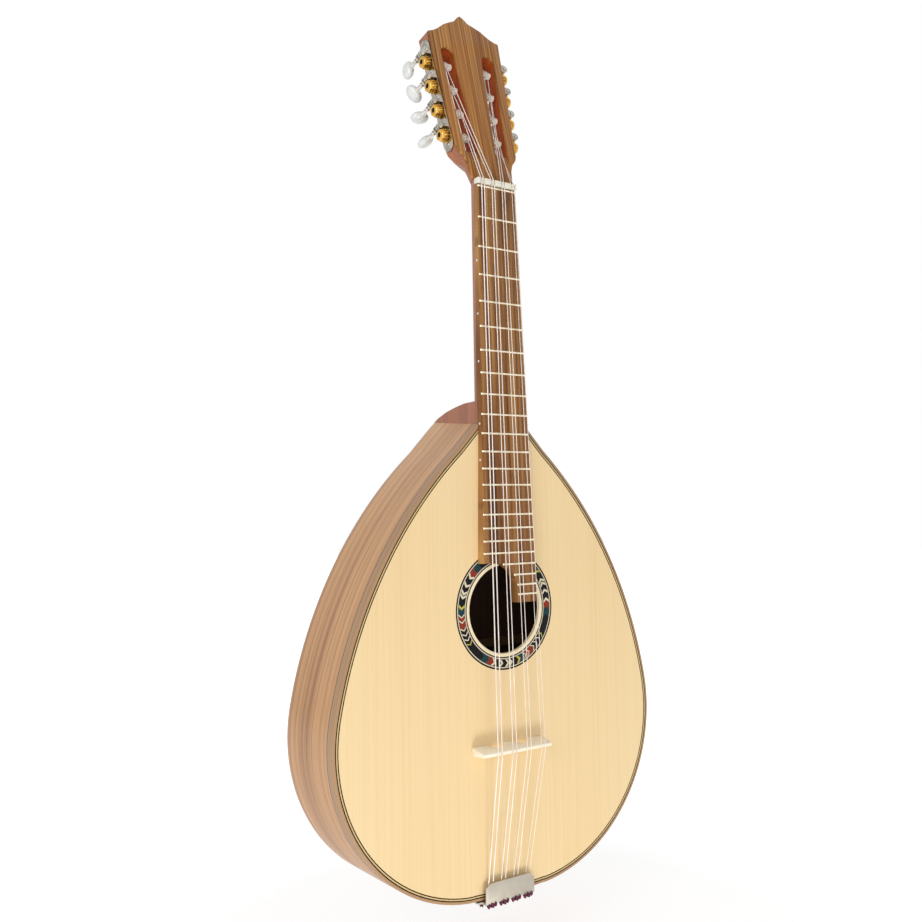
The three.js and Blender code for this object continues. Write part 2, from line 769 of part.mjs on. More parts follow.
// Least clear gap between stretches of one string that are over half a turn apart along it
function leastGap(points, diameter) {
  const apart = Math.PI * rollerRadius;
  const travelled = [0];
  for (let i = 1; i < points.length; i += 1) travelled.push(travelled[i - 1] + points[i].distanceTo(points[i - 1]));
  let least = Infinity;
  for (let i = 0; i < points.length; i += 1) {
    for (let j = i + 1; j < points.length; j += 1) {
      if (travelled[j] - travelled[i] > apart) least = Math.min(least, points[i].distanceTo(points[j]));
    }
  }
  return least - diameter;
}

function string(number) {
  const points = stringPath(number);
  const gap = leastGap(windingPoints(number), stringDiameters[number]);
  console.log(`string ${number + 1}: least gap in its winding ${gap.toFixed(2)} mm`);
  return toSolid(tube(points, stringDiameters[number] / 2, stringSides));
}

// Floating bridge
function bridge() {
  const high = bridgeHeight;
  const side = [
    [archOuter, 0], [bridgeFootHalf, 0], [bridgeFootHalf, bridgeEndHeight], [bridgeCrestHalf, high],
  ];
  const arch = (from, to) => Array.from({ length: arcSteps + 1 }, (_, i) => {
    const angle = Math.PI * i / arcSteps;
    return [(from + to) / 2 - (to - from) / 2 * Math.cos(angle), archHeight * Math.sin(angle)];
  });
  const outline = [
    ...side.slice().reverse().map(([x, h]) => [-x, h]),
    ...arch(-archOuter, -archInner).slice(1),
    ...arch(archInner, archOuter).slice(0, -1),
    ...side,
  ].map(([x, h]) => [x, -h]);
  const shape = new THREE.Shape(outline.map(([x, y]) => new THREE.Vector2(x, y)));
  const plank = new THREE.ExtrudeGeometry(shape, { depth: bridgeFootAbove + bridgeFootBelow, bevelEnabled: false });
  plank.translate(0, 0, -bridgeFootBelow);
  const wedge = sideSlab([
    [0, -bridgeFootBelow], [0, bridgeFootAbove], [-high, bridgeCrestAbove], [-high, -bridgeCrestBelow],
  ], -wide, wide);
  return toSolid(plank).intersect(toSolid(wedge)).translate([bridgeCentre, -seat, -bridgeDrop]);
}

// Tailpiece: a bent sheet with a window for each course and a hook for each string
function tailScrewHoles() {
  const hole = rod(tailScrewRadius + seat, 0, tailScrewLength + overrun, pinSides);
  hole.rotateX(Math.PI / 2);
  const solid = toSolid(hole).translate([tailCentre, tailScrewDepth, -tailDrop - overrun]);
  return solid.translate([tailScrewX, 0, 0]).add(solid.translate([-tailScrewX, 0, 0]));
}

function tailpiece() {
  const legTop = -tailDrop - seat;
  const legBottom = legTop - tailpieceSheet;
  const flapTop = -tailDrop + flapHeight;
  const front = -flapStandoff - tailpieceSheet;
  const flapOutline = [
    [-flapHalf, legBottom], [flapHalf, legBottom], [flapHalf, flapTop - flapChamfer], [flapTopHalf, flapTop],
    [-flapTopHalf, flapTop], [-flapHalf, flapTop - flapChamfer],
  ].map(([x, z]) => [tailCentre + x, z]);
  const flap = toSolid(slab(flapOutline, front, -flapStandoff));
  const legEnd = tailLegDepth;
  const legShape = new THREE.Shape([
    [-flapHalf, front], [flapHalf, front], [flapHalf, 0], [tailLegHalf, 0], [tailLegHalf, legEnd - tailLegChamfer],
    [tailLegHalf - tailLegChamfer, legEnd], [-tailLegHalf + tailLegChamfer, legEnd],
    [-tailLegHalf, legEnd - tailLegChamfer], [-tailLegHalf, 0], [-flapHalf, 0],
  ].map(([x, y]) => new THREE.Vector2(tailCentre + x, y)));
  const leg = new THREE.ExtrudeGeometry(legShape, { depth: tailpieceSheet, bevelEnabled: false });
  leg.translate(0, 0, legBottom);
  let sheet = flap.add(toSolid(leg));
  for (let course = 0; course < stringCount / coursePairs; course += 1) {
    const x = courseX(course * coursePairs, tailCentre, tailCourseSpacing, 0);
    const window = block(
      [x - stringWindowHalf, x + stringWindowHalf], [-flapStandoff, -flapStandoff + stringWindowDepth],
      [legBottom - overrun, legTop + overrun]);
    sheet = sheet.subtract(toSolid(window));
  }
  const peg = turned([
    [0, 0], [hookHeadRadius, 0], [hookHeadRadius, hookHeadThickness], [hookRadius, hookHeadThickness],
    [hookRadius, hookLength + tailpieceSheet / 2], [0, hookLength + tailpieceSheet / 2],
  ], boreSides);
  peg.rotateX(Math.PI / 2);
  const pegSolid = toSolid(peg);
  for (let i = 0; i < stringCount; i += 1) {
    sheet = sheet.add(pegSolid.translate([hookPlace(i).centre, hookSetback, legBottom - hookLength]));
  }
  return sheet.subtract(tailScrewHoles());
}

function tailScrew(side) {
  const top = tailScrewLength;
  const screw = turned([
    [0, -tailScrewHeadHeight], [tailScrewHeadRadius - tailScrewHeadHeight / 2, -tailScrewHeadHeight],
    [tailScrewHeadRadius, 0], [tailScrewRadius, 0], [tailScrewRadius, top - tailScrewRadius], [0, top],
  ], pinSides);
  screw.rotateX(Math.PI / 2);
  const head = -tailDrop - seat - tailpieceSheet - seat;
  return toSolid(screw).translate([tailCentre + side * tailScrewX, tailScrewDepth, head]);
}

// Tuners, drawn for the treble cheek: X out of the cheek, Y to the back, Z to the tip
function earOutline(z) {
  const root = seat + machinePlateThickness / 2;
  const round = Array.from({ length: arcSteps + 1 }, (_, i) => {
    const angle = Math.PI * (i / arcSteps - 1 / 2);
    return [gearMid + earRadius * Math.cos(angle), z + earRadius * Math.sin(angle)];
  });
  return [[root, z - earRadius], ...round, [root, z + earRadius]];
}

function machinePlate() {
  const half = machinePlateHalfWidth;
  const top = (tunerCount - 1) * tunerPitch + machinePlateAbove;
  const bottom = -machinePlateBelow;
  const end = (z, from) => Array.from({ length: arcSteps + 1 }, (_, i) => {
    const angle = from + Math.PI * i / arcSteps;
    return [half * Math.cos(angle), z + half * Math.sin(angle)];
  });
  const outline = end(top - half, 0).concat(end(bottom + half, Math.PI));
  let plate = toSolid(sideSlab(outline, seat, seat + machinePlateThickness));
  const spindleHole = rod(spindleRadius + seat, -overrun, machinePlateThickness + overrun, pinSides);
  spindleHole.rotateZ(-Math.PI / 2);
  const spindle = toSolid(spindleHole);
  const shaftRoom = toSolid(rod(journalRadius + seat, -machinePlateHalfWidth, machinePlateHalfWidth, boreSides));
  for (let i = 0; i < tunerCount; i += 1) {
    const z = i * tunerPitch;
    for (const place of [-earOffset, earOffset]) {
      const ear = slab(earOutline(z + wormOffset), place - earThickness / 2, place + earThickness / 2);
      plate = plate.add(toSolid(ear));
    }
    plate = plate.subtract(spindle.translate([0, 0, z]));
    plate = plate.subtract(shaftRoom.translate([gearMid, 0, z + wormOffset]));
  }
  return plate;
}

function gearWheel() {
  const shape = new THREE.Shape();
  const step = fullTurn / gearTeeth;
  const gapAtWorm = Math.PI + step / 2;
  const tip = toothTip / gearTipRadius / 2;
  const root = toothRoot / gearRootRadius / 2;
  const corners = [];
  for (let i = 0; i < gearTeeth; i += 1) {
    const centre = gapAtWorm + i * step;
    for (const [radius, offset] of [
      [gearRootRadius, -root], [gearTipRadius, -tip], [gearTipRadius, tip], [gearRootRadius, root],
    ]) {
      corners.push(new THREE.Vector2(radius * Math.cos(centre + offset), radius * Math.sin(centre + offset)));
    }
  }
  shape.setFromPoints(corners);
  const around = Array.from({ length: boreSides }, (_, i) => -fullTurn * i / boreSides);
  const bore = spindleRadius + seat;
  shape.holes.push(new THREE.Path(around.map((a) => new THREE.Vector2(bore * Math.cos(a), bore * Math.sin(a)))));
  const geometry = new THREE.ExtrudeGeometry(shape, { depth: gearWidth, bevelEnabled: false });
  const slope = gearLead / (fullTurn * wormPitchRadius);
  const position = geometry.attributes.position;
  for (let i = 0; i < position.count; i += 1) {
    const along = position.getZ(i) - gearWidth / 2;
    const twist = slope * along / gearPitchRadius;
    const x = position.getX(i);
    const y = position.getY(i);
    position.setXY(i, x * Math.cos(twist) - y * Math.sin(twist), x * Math.sin(twist) + y * Math.cos(twist));
  }
  geometry.translate(0, 0, gearMid - gearWidth / 2);
  geometry.rotateY(Math.PI / 2);
  return toSolid(geometry);
}

function roller() {
  const inner = cheekThickness + slotWidth;
  const barrelStart = cheekThickness + seat * 2;
  const barrelEnd = inner - seat * 2;
  const outer = -gearMid - gearWidth / 2 + seat;
  const pin = turned([
    [0, outer], [spindleRadius, outer], [spindleRadius, barrelStart], [rollerRadius, barrelStart],
    [rollerRadius, barrelEnd], [spindleRadius, barrelEnd], [spindleRadius, inner + rollerBearing],
    [0, inner + rollerBearing],
  ], pinSides);
  pin.rotateZ(Math.PI / 2);
  return toSolid(pin);
}

// Radius of the worm where its thread's middle lies a share of a turn away
function wormRadius(share) {
  const away = Math.abs(share - Math.round(share)) * gearLead;
  const climb = (toothRoot / 2 - away) / (toothRoot / 2 - toothTip / 2);
  return wormCoreRadius + (wormCrestRadius - wormCoreRadius) * THREE.MathUtils.clamp(climb, 0, 1);
}

function wormShaft() {
  const shoulder = earOffset - earThickness / 2 - seat;
  const shaftEnd = buttonCentre - buttonHalfWidth - collarLength + stemSocket;
  const ringAt = (y, radiusAt) => Array.from({ length: pinSides }, (_, k) => {
    const angle = fullTurn * k / pinSides;
    const radius = radiusAt(k);
    return new THREE.Vector3(radius * Math.sin(angle), y, radius * Math.cos(angle));
  });
  const plain = (y, radius) => ringAt(y, () => radius);
  const threaded = Array.from({ length: threadTurns * pinSides + 1 }, (_, i) => {
    const step = i - threadTurns * pinSides / 2;
    return ringAt(gearLead * step / pinSides, (k) => wormRadius((step - k) / pinSides + 1 / 2));
  });
  return toSolid(skin([
    plain(-shaftFrontReach, journalRadius), plain(-shoulder, journalRadius), plain(-shoulder, wormCoreRadius),
    ...threaded,
    plain(shoulder, wormCoreRadius), plain(shoulder, journalRadius), plain(shaftEnd, stemRadius),
  ]));
}

function button() {
  const start = buttonCentre - buttonHalfWidth - collarLength;
  const bulb = new THREE.SphereGeometry(1, 2 * pinSides - 4, pinSides - 2);
  bulb.scale(buttonHalfThickness, buttonHalfWidth, buttonHalfLength);
  bulb.translate(0, buttonCentre, 0);
  const collar = rod(collarRadius, start, buttonCentre, pinSides);
  const socket = rod(stemRadius + seat, start - overrun, start + stemSocket + seat, pinSides);
  return toSolid(bulb).add(toSolid(collar)).subtract(toSolid(socket));
}

// Assembly
const bandola = new THREE.Group();
bandola.add(
  piece('soundboard', soundboard(), spruce),
  piece('back_plate', backPlate(), walnut),
  piece('rib_bass', rib(-1), walnut),
  piece('rib_treble', rib(1), walnut),
  piece('binding', binding(), maple),
  piece('front_lining_and_bars', frontLining(), liningWood),
  piece('back_lining_and_bars', backLining(), liningWood),
  piece('tail_block', tailBlock(), liningWood),
  piece('neck', neck(), cedar),
  piece('bridge', bridge(), bone),
  piece('tailpiece', tailpiece(), nickel),
  piece('tailpiece_screw_bass', tailScrew(-1), nickel),
  piece('tailpiece_screw_treble', tailScrew(1), nickel),
);
const rosettePiece = piece('rosette', rosette(), marquetry);
rosettePiece.position.z = -holeDrop;
bandola.add(rosettePiece, neckFrame);
for (let i = 0; i < stringCount; i += 1) bandola.add(piece(`string_${i + 1}`, string(i), wire));

neckFrame.add(piece('fretboard', fretboard(), boardWood), piece('nut', nut(), bone), headFrame);
headFrame.add(piece('head_veneer', headVeneer(), headWalnut));

for (const [side, name] of [[-1, 'bass'], [1, 'treble']]) {
  const cheek = new THREE.Group();
  cheek.applyMatrix4(cheekMatrix(side));
  headFrame.add(cheek);
  const shaped = (solid) => (side > 0 ? solid : mirrored(solid));
  cheek.add(piece(`machine_plate_${name}`, shaped(machinePlate()), nickel));
  for (let i = 0; i < tunerCount; i += 1) {
    const tag = `${name}_${i + 1}`;
    const wheel = piece(`gear_${tag}`, shaped(gearWheel()), brass);
    const barrel = piece(`roller_${tag}`, shaped(roller()), nickel);
    const worm = piece(`worm_shaft_${tag}`, shaped(wormShaft()), nickel);
    const knob = piece(`button_${tag}`, shaped(button()), pearl);
    for (const part of [wheel, barrel]) part.position.z = i * tunerPitch;
    for (const part of [worm, knob]) part.position.set(side * gearMid, 0, i * tunerPitch + wormOffset);
    knob.rotation.y = side * buttonTurns[i];
    cheek.add(wheel, barrel, worm, knob);
  }
}

export default bandola;
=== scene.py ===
import math

import bmesh
import bpy
from mathutils import Matrix, Vector


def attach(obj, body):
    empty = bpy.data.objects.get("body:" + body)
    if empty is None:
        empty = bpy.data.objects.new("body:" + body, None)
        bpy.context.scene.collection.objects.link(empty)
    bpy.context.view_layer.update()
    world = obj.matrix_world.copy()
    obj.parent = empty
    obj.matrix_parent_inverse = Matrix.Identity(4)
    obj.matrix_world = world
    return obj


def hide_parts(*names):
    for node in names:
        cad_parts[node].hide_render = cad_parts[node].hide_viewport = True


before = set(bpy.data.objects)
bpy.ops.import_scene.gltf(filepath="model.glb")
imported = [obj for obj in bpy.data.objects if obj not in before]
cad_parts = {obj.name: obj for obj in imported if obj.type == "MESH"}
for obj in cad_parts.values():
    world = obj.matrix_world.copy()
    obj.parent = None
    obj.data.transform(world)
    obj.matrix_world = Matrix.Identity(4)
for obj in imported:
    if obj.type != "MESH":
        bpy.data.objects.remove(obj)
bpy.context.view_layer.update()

MM = 0.001
FULL_TURN = 2 * math.pi
QUARTER_TURN = Matrix.Rotation(math.pi / 2, 4, "Z")

# The instrument's sizes in millimetres, as the solids have them, and those of the small work on them
SCALE_LENGTH = 468
FRETS = 22
NECK_ANGLE = math.radians(1.76)
NECK_JOINT_DROP = 202.5
FRET_PLANE_LIFT = 5
NUT_HALF_WIDTH = 20
LAST_FRET_HALF_WIDTH = 26.7
LAST_FULL_FRET = 18
BOARD_THICKNESS = 4
BOARD_OVER_NUT = 1.5
BOARD_EDGE_EASE = 0.25
FRET_HEIGHT = 1
FRET_HALF_WIDTH = 0.95
FRET_SUNK = 0.15
FRET_END_INSET = 0.4
FRET_END_SLOPE = [(0, 0.2), (0.5, 0.7), (1.2, 1)]  # how far from the end, and the share of the full height
DOT_FRETS = (3, 5, 7, 10, 12)
DOT_SUNK = 0.5
DOT_PROFILE = [(1.0, 0), (1.0, 0.5), (0.9, 0.58)]
BOARD_FULL_END_DROP = 310.5
BOARD_END_DROP = 343.4
TONGUE_LEFT = 7
STEP_START = -13
STEP_CORNER = (5.5, 313.5)
STEP_CURVE_END_DROP = 333

TAIL_DROP = 577.7
TAIL_RADIUS = 600
BOUT_RADIUS = 133.4
BOUT_CENTRE = (27.2, -443.8)
SHOULDER_RADIUS = 361
SHOULDER_START = math.radians(101.05)
SHOULDER_END_HALF_WIDTH = 44
SHOULDER_TIP_IN_AND_UP = [(19.1, 20), (27, 27.6)]
BODY_DEPTH = 75
RIB_THICKNESS = 2.4
PLATE_THICKNESS = 3
BINDING_DEPTH = 8
BACK_BINDING_DEPTH = 3
BACK_EDGE = [(0, 1.2), (0.15, 0.6), (0.6, 0.15), (1.2, 0)]  # inset, and how far in front of the back's face
BINDING_THICKNESS = 2.6
BINDING_EASES = (0.7, 0.02)
SIDE_LINE_WIDTH = 0.5
SIDE_LINE_DEPTH = 1
PURFLING_DEPTH = 1.5
PURFLING_LINES = [("outer_dark", 2.3, 3.2, "brown"), ("light", 3.2, 4.2, "straw"),
                  ("inner_dark", 4.2, 5.1, "brown")]
TOP_EDGE_INSET = PURFLING_LINES[-1][2]
OUTLINE_DRAW_IN = 0.15
OUTLINE_STEPS = (8, 72, 30)
HEEL_FRONT_HALF_WIDTH = 24.6
HEEL_BACK_HALF_WIDTH = 17.2
HEEL_BACK_DROP = 190.9

HOLE_DROP = 348.5
HOLE_RADIUS = 36
HOLE_EDGE = [(0.5, 0), (0.15, 0.15), (0, 0.5)]  # how far outside the hole, and how deep
HOLE_STEPS = 144
ROSETTE_DEPTH = 1

HEAD_TILT = math.radians(13)
HEAD_LEAN = math.radians(0.8)
HEAD_START = 7
HEAD_FACE_SETBACK = 5
CHEEK_HALF_WIDTH = 31.5
CHEEK_CORNER_RISE = 30
CHEEK_SPLAY = math.radians(3.4)
SLOT_HALF_WIDTH = 7
SLOT_OFFSET = 16.3
SLOT_WALL_START = 18
SLOT_WALL_DEPTHS = (2.5, 14.5)

NUT_GAP = 0.4
NUT_LENGTH = 4.7
NUT_PROUD = 1

STRING_DIAMETERS = [1, 1, 0.8, 0.8, 0.65, 0.65, 0.5, 0.5]
WOUND_STRINGS = 4
NUT_SPREAD = (0.7, 10.6, 2.8)
BRIDGE_SPREAD = (2.2, 14.9, 4)
TAIL_SPREAD = (-3.4, 12.2, 4.2)
STRING_CLEARANCE = 0.35
TAIL_BEND = 0.8
SPAN_BEND = 1.5
LOOP_STEPS = 18
WINDING_TURNS = 3
WINDING_GAP = 0.5
WINDING_STEPS = 27
SILK_THICK = 1.8
SILK_SLEEVE = 0.3
SILK_LOW_END = -582.2
SILK_CURLS = [(-0.9, 0.0), (0.9, 0.7)]  # how far each curl sways to the side, and how much higher it hangs

BRIDGE_DROP = 460
BRIDGE_HEIGHT = 15.3
BRIDGE_BREAK_SETBACK = 2.4
SEAT = 0.3

TAILPIECE_SHEET = 1.2
FLAP_STANDOFF = 4
FLAP_HEIGHT = 14.5
HOOK_RADIUS = 0.9
HOOK_SETBACK = 4.5
LOOP_DROP = 2
LOOP_TAIL = 4

TUNER_PITCH = 23.2
FIRST_TUNER_RISE = 42.5
TREBLE_TUNERS_HIGHER = 2.5
ROLLER_DEPTH = 8.5
ROLLER_RADIUS = 2.9
ROLLER_EASE = 0.3
SPINDLE_RADIUS = 1.5
SPINDLE_FAR_REACH = (4.5, 4.9)
PLATE_SHEET = 1
PLATE_SCREW_RISES = (-8.1, 14.6, 37.8, 61.0, 86.1)
PLATE_SCREW_PROFILE = [(1.9, 0), (1.9, 0.25), (1.6, 0.65), (0.9, 0.95), (0.3, 1.0)]
GEAR_TEETH = 14
GEAR_PITCH_RADIUS = 5
GEAR_TIP_RADIUS = 5.5
GEAR_ROOT_RADIUS = 4.35
GEAR_WIDTH = 7
GEAR_DOME_RADIUS = 4.95
GEAR_SCREW_PROFILE = [(2.1, -1.0), (2.1, 0.02), (1.9, 0.14)]
TOOTH_TIP = 0.5
TOOTH_ROOT = 1.05
WORM_PITCH_RADIUS = 3.3
WORM_CREST_RADIUS = 3.6
WORM_CORE_RADIUS = 2.45
THREAD_TURNS = 2
JOURNAL_RADIUS = 1.3
EAR_OFFSET = 5.6
EAR_THICKNESS = 1.5
SHAFT_FRONT_REACH = 7.1
BUTTON_CENTRE = 23.5
BUTTON_HALVES = (4.5, 6.35, 8.3)
COLLAR_RADIUS = 2.5
COLLAR_LENGTH = 7.5
STEM_SOCKET = 4
STEM_RADIUS = 1.25
BUTTON_ROWS = 24
BUTTON_FULLNESS = 0.92
BUTTON_TURNS = [math.radians(turn) for turn in (-60, 90, 35, -10)]

ZERO_FRET_SETBACK = NECK_JOINT_DROP * math.sin(NECK_ANGLE) - FRET_PLANE_LIFT * math.cos(NECK_ANGLE)
GEAR_LEAD = FULL_TURN * GEAR_PITCH_RADIUS / GEAR_TEETH
GEAR_MID = 2 * SEAT + PLATE_SHEET + GEAR_WIDTH / 2
WORM_OFFSET = GEAR_PITCH_RADIUS + WORM_PITCH_RADIUS
CHEEK_THICKNESS = (CHEEK_HALF_WIDTH - SLOT_OFFSET) * math.cos(CHEEK_SPLAY) - SLOT_HALF_WIDTH


def fret_drop(number):
    return SCALE_LENGTH * (1 - 2 ** (-number / 12))


def board_half_width(drop):
    growth = (LAST_FRET_HALF_WIDTH - NUT_HALF_WIDTH) / fret_drop(LAST_FULL_FRET)
    return NUT_HALF_WIDTH + growth * drop


# Where the neck, the head and its two cheeks sit
NECK = Matrix.Translation((0, ZERO_FRET_SETBACK, 0)) @ Matrix.Rotation(-NECK_ANGLE, 4, "X")
HEAD = (NECK @ Matrix.Translation((0, HEAD_FACE_SETBACK, HEAD_START)) @ Matrix.Rotation(-HEAD_TILT, 4, "X")
        @ Matrix.Rotation(-HEAD_LEAN, 4, "Y"))


def cheek(side):
    rise = FIRST_TUNER_RISE + (TREBLE_TUNERS_HIGHER if side > 0 else 0)
    out = CHEEK_HALF_WIDTH + (rise - CHEEK_CORNER_RISE) * math.tan(CHEEK_SPLAY)
    place = Matrix.Translation((side * out, ROLLER_DEPTH, rise))
    return HEAD @ place @ Matrix.Rotation(side * CHEEK_SPLAY, 4, "Y")


# Camera: before the bass side, below the neck's height, tilted a little up
camera_data = bpy.data.cameras.new("camera")
camera_data.sensor_width = 36
camera_data.lens = 39.94
camera_data.shift_x = -0.00065
camera = bpy.data.objects.new("camera", camera_data)
camera.location = (-0.51525, -0.66631, -0.26297)
camera.rotation_euler = [math.radians(turn) for turn in (92.458, 0.888, -35.375)]
bpy.context.scene.collection.objects.link(camera)
bpy.context.scene.camera = camera


# Materials
LACQUER_ROUGHNESS = 0.12
GRAIN_RELIEF_MM = 0.03
WANDER_SCALE = 9.0
BAND_STRETCH = 2.5
PORE_SIZE = (0.7, 0.12)
PORE_THRESHOLDS = (0.6, 0.72)
RUBBED_PATCH_MM = 7.2


def linear(colour):
    """An sRGB hex colour as linear red, green, blue and a full alpha."""
    parts = [int(colour[i:i + 2], 16) / 255 for i in (1, 3, 5)]
    return [p / 12.92 if p <= 0.04045 else ((p + 0.055) / 1.055) ** 2.4 for p in parts] + [1]


def add(tree, kind, settings=None, stops=None, **links):
    """Adds a node. Settings are its own properties; links are socket values or (node, output) pairs."""
    node = tree.nodes.new(kind)
    for name, value in (settings or {}).items():
        setattr(node, name, value)
    if stops:
        ramp = node.color_ramp
        while len(ramp.elements) < len(stops):
            ramp.elements.new(0.5)
        for element, (position, colour) in zip(ramp.elements, stops):
            element.position = position
            element.color = linear(colour) if isinstance(colour, str) else (colour, colour, colour, 1)
    for name, value in links.items():
        key = int(name[1:]) if name[0] == "_" else name.replace("_", " ")
        if isinstance(value, tuple) and isinstance(value[0], bpy.types.Node):
            tree.links.new(value[0].outputs[value[1]], node.inputs[key])
        else:
            node.inputs[key].default_value = value
    return node


def surface(name, **looks):
    """A material whose nodes are only its shader so far, and that shader."""
    material = bpy.data.materials.new(name)
    material.use_nodes = True
    shader = material.node_tree.nodes["Principled BSDF"]
    for key, value in looks.items():
        shader.inputs[key.replace("_", " ")].default_value = value
    return material, material.node_tree, shader


def bump(tree, shader, height, depth_mm, strength=1.0):
    """Lets a pattern stand up from the surface by a depth in millimetres."""
    relief = add(tree, "ShaderNodeBump", Strength=strength, Distance=depth_mm * MM, Height=height)
    tree.links.new(relief.outputs["Normal"], shader.inputs["Normal"])


def wood(name, stops, line_mm, band_mm, length_mm, band_share=0.5, pores=0.0, pore_colour="#3a2212",
         roughness=0.35, coat=0.4, shine=0.5, along="Z", mirrored=False, grain_map=False, ripple_mm=0.0,
         depth_mm=None):
    """Planed and lacquered wood: growth lines that run one way, broader bands of them, and short pores.
    A board sawn on the quarter changes little through its thickness, by depth_mm."""
    material, tree, shader = surface(name, Roughness=roughness, Specular_IOR_Level=shine, Coat_Weight=coat,
                                     Coat_Roughness=LACQUER_ROUGHNESS)
    if grain_map:
        place = (add(tree, "ShaderNodeAttribute", {"attribute_name": "grain"}), "Vector")
    else:
        place = (add(tree, "ShaderNodeTexCoord"), "Object")
    if mirrored:
        place = (add(tree, "ShaderNodeVectorMath", {"operation": "ABSOLUTE"}, _0=place), "Vector")
    if ripple_mm:
        wander = add(tree, "ShaderNodeTexNoise", Vector=place, Scale=WANDER_SCALE, Detail=1.0)
        sway = add(tree, "ShaderNodeVectorMath", {"operation": "SUBTRACT"}, _0=(wander, "Color"),
                   _1=(0.5, 0.5, 0.5))
        drift = add(tree, "ShaderNodeVectorMath", {"operation": "SCALE"}, _0=(sway, "Vector"),
                    Scale=ripple_mm * MM)
        place = (add(tree, "ShaderNodeVectorMath", _0=place, _1=(drift, "Vector")), "Vector")

    def figure(across_mm, along_mm, detail):
        """Noise in cells this wide and this long, with the length along the grain."""
        across, length = 1000 / across_mm, 1000 / along_mm
        deep = 1000 / depth_mm if depth_mm else across
        scale = {"Z": (across, deep, length), "X": (length, deep, across)}[along]
        cells = add(tree, "ShaderNodeMapping", Vector=place, Scale=scale)
        return add(tree, "ShaderNodeTexNoise", Vector=(cells, "Vector"), Scale=1.0, Detail=detail)

    lines = figure(line_mm, length_mm, 3.0)
    bands = figure(band_mm, length_mm * BAND_STRETCH, 1.5)
    mixed = add(tree, "ShaderNodeMixRGB", Fac=band_share, Color1=(lines, "Color"), Color2=(bands, "Color"))
    grain = add(tree, "ShaderNodeValToRGB", stops=stops, Fac=(mixed, "Color"))
    colour = (grain, "Color")
    if pores:
        start, full = PORE_THRESHOLDS
        marks = figure(line_mm * PORE_SIZE[0], length_mm * PORE_SIZE[1], 2.0)
        shown = add(tree, "ShaderNodeValToRGB", stops=[(start, 0.0), (full, pores)], Fac=(marks, "Fac"))
        dark = linear(pore_colour)
        colour = (add(tree, "ShaderNodeMixRGB", Fac=(shown, "Color"), Color1=colour, Color2=dark), "Color")
    tree.links.new(colour[0].outputs[colour[1]], shader.inputs["Base Color"])
    bump(tree, shader, (lines, "Fac"), GRAIN_RELIEF_MM, 0.5)
    return material


# Spruce, quartersawn and bookmatched, under a thin satin lacquer: warm cream with pale growth lines
# 1.6 mm apart that mirror at the centre joint, and broad bands 26 mm wide.
spruce = wood("lacquered_spruce", [(0.3, "#eccc95"), (0.5, "#f1d4a0"), (0.7, "#f5dcac")], 1.6, 26, 260,
              band_share=0.45, roughness=0.42, coat=0.05, mirrored=True)
# The same spruce cut as a thin reinforcing ring, unstained, so it reads lighter than the top.
ring_spruce = wood("ring_spruce", [(0.3, "#f2dcae"), (0.7, "#fbeccb")], 1.2, 10, 80, roughness=0.38, coat=0.2)
# Bent walnut sides, sanded and thinly lacquered: pinkish brown, long even streaks 1.7 mm apart along
# the bend.
rib_walnut = wood("lacquered_rib_walnut",
                  [(0.36, "#93623f"), (0.46, "#ba8757"), (0.54, "#cd9b69"), (0.66, "#dfb280")], 1.7, 11, 260,
                  band_share=0.4, pores=0.45, pore_colour="#7c523a", roughness=0.42, coat=0.08, grain_map=True)
# The flat walnut back, planed and bookmatched: the same wood with wider figure that wanders a little.
back_walnut = wood("lacquered_back_walnut", [(0.28, "#8d6548"), (0.48, "#b08463"), (0.72, "#cda784")],
                   2.4, 22, 240, band_share=0.6, pores=0.3, pore_colour="#7d5540", roughness=0.36, coat=0.35,
                   mirrored=True, ripple_mm=5)
# Cedar neck and heel, carved and oiled under lacquer: red-brown, soft lines 1.8 mm apart.
neck_cedar = wood("lacquered_neck_cedar", [(0.3, "#82472d"), (0.5, "#a46545"), (0.72, "#c0815a")],
                  1.8, 12, 150, band_share=0.5, pores=0.3, pore_colour="#5d3526", roughness=0.42, coat=0.08)
# The same cedar where the slots were sawn and only oil reached it: matt, a hot orange brown.
cut_cedar = wood("oiled_cut_cedar", [(0.3, "#561e06"), (0.5, "#993f0e"), (0.72, "#c1611e")],
                 1.8, 12, 150, band_share=0.5, roughness=0.6, coat=0.0, shine=0.15)
# Walnut veneer on the head's face, scraped and oiled, so nearly matt: golden brown, streaks 1.9 mm apart
# that run from tip to nut.
head_walnut = wood("head_walnut_veneer",
                   [(0.4, "#72461d"), (0.46, "#8f5c2b"), (0.54, "#aa723b"), (0.61, "#c49150")], 1.9, 9, 300,
                   band_share=0.2, pores=0.2, pore_colour="#5a3518", roughness=0.45, coat=0.06, shine=0.2,
                   ripple_mm=2.5, depth_mm=90)
# Open-grained fingerboard wood, scraped and only oiled, so matt: stripes 8 mm wide over lines 2.6 mm
# apart, and dark pores.
board_wood = wood("oiled_fingerboard_wood",
                  [(0.38, "#402510"), (0.46, "#7a4e27"), (0.54, "#9f7040"), (0.63, "#c79a5a")], 2.6, 8, 150,
                  band_share=0.55, pores=0.6, pore_colour="#33200f", roughness=0.5, coat=0.03,
                  ripple_mm=2, depth_mm=60, shine=0.25)
# Maple edge binding, bent and scraped flush: plain tan with faint lines.
binding_maple = wood("scraped_maple_binding", [(0.3, "#97704c"), (0.7, "#bc966d")], 1.1, 7, 90,
                     roughness=0.42, coat=0.08, grain_map=True)
# Bare, unlacquered softwood inside the body: matt, coloured dark brown as painted shade of the closed body.
lining_wood_painted_shade = wood("lining_wood_with_painted_shade", [(0.3, "#5a3f28"), (0.7, "#75543a")], 1.8, 9, 90,
                  roughness=0.75, coat=0)
# The inner face of the back: walnut coloured near black-brown, painted shade of the closed body, which keeps
# the hole deep brown.
inner_walnut_painted_shade = wood("inner_walnut_with_painted_shade", [(0.3, "#281a0e"), (0.7, "#583924")], 2.4, 20, 160,
                      roughness=0.8, coat=0)
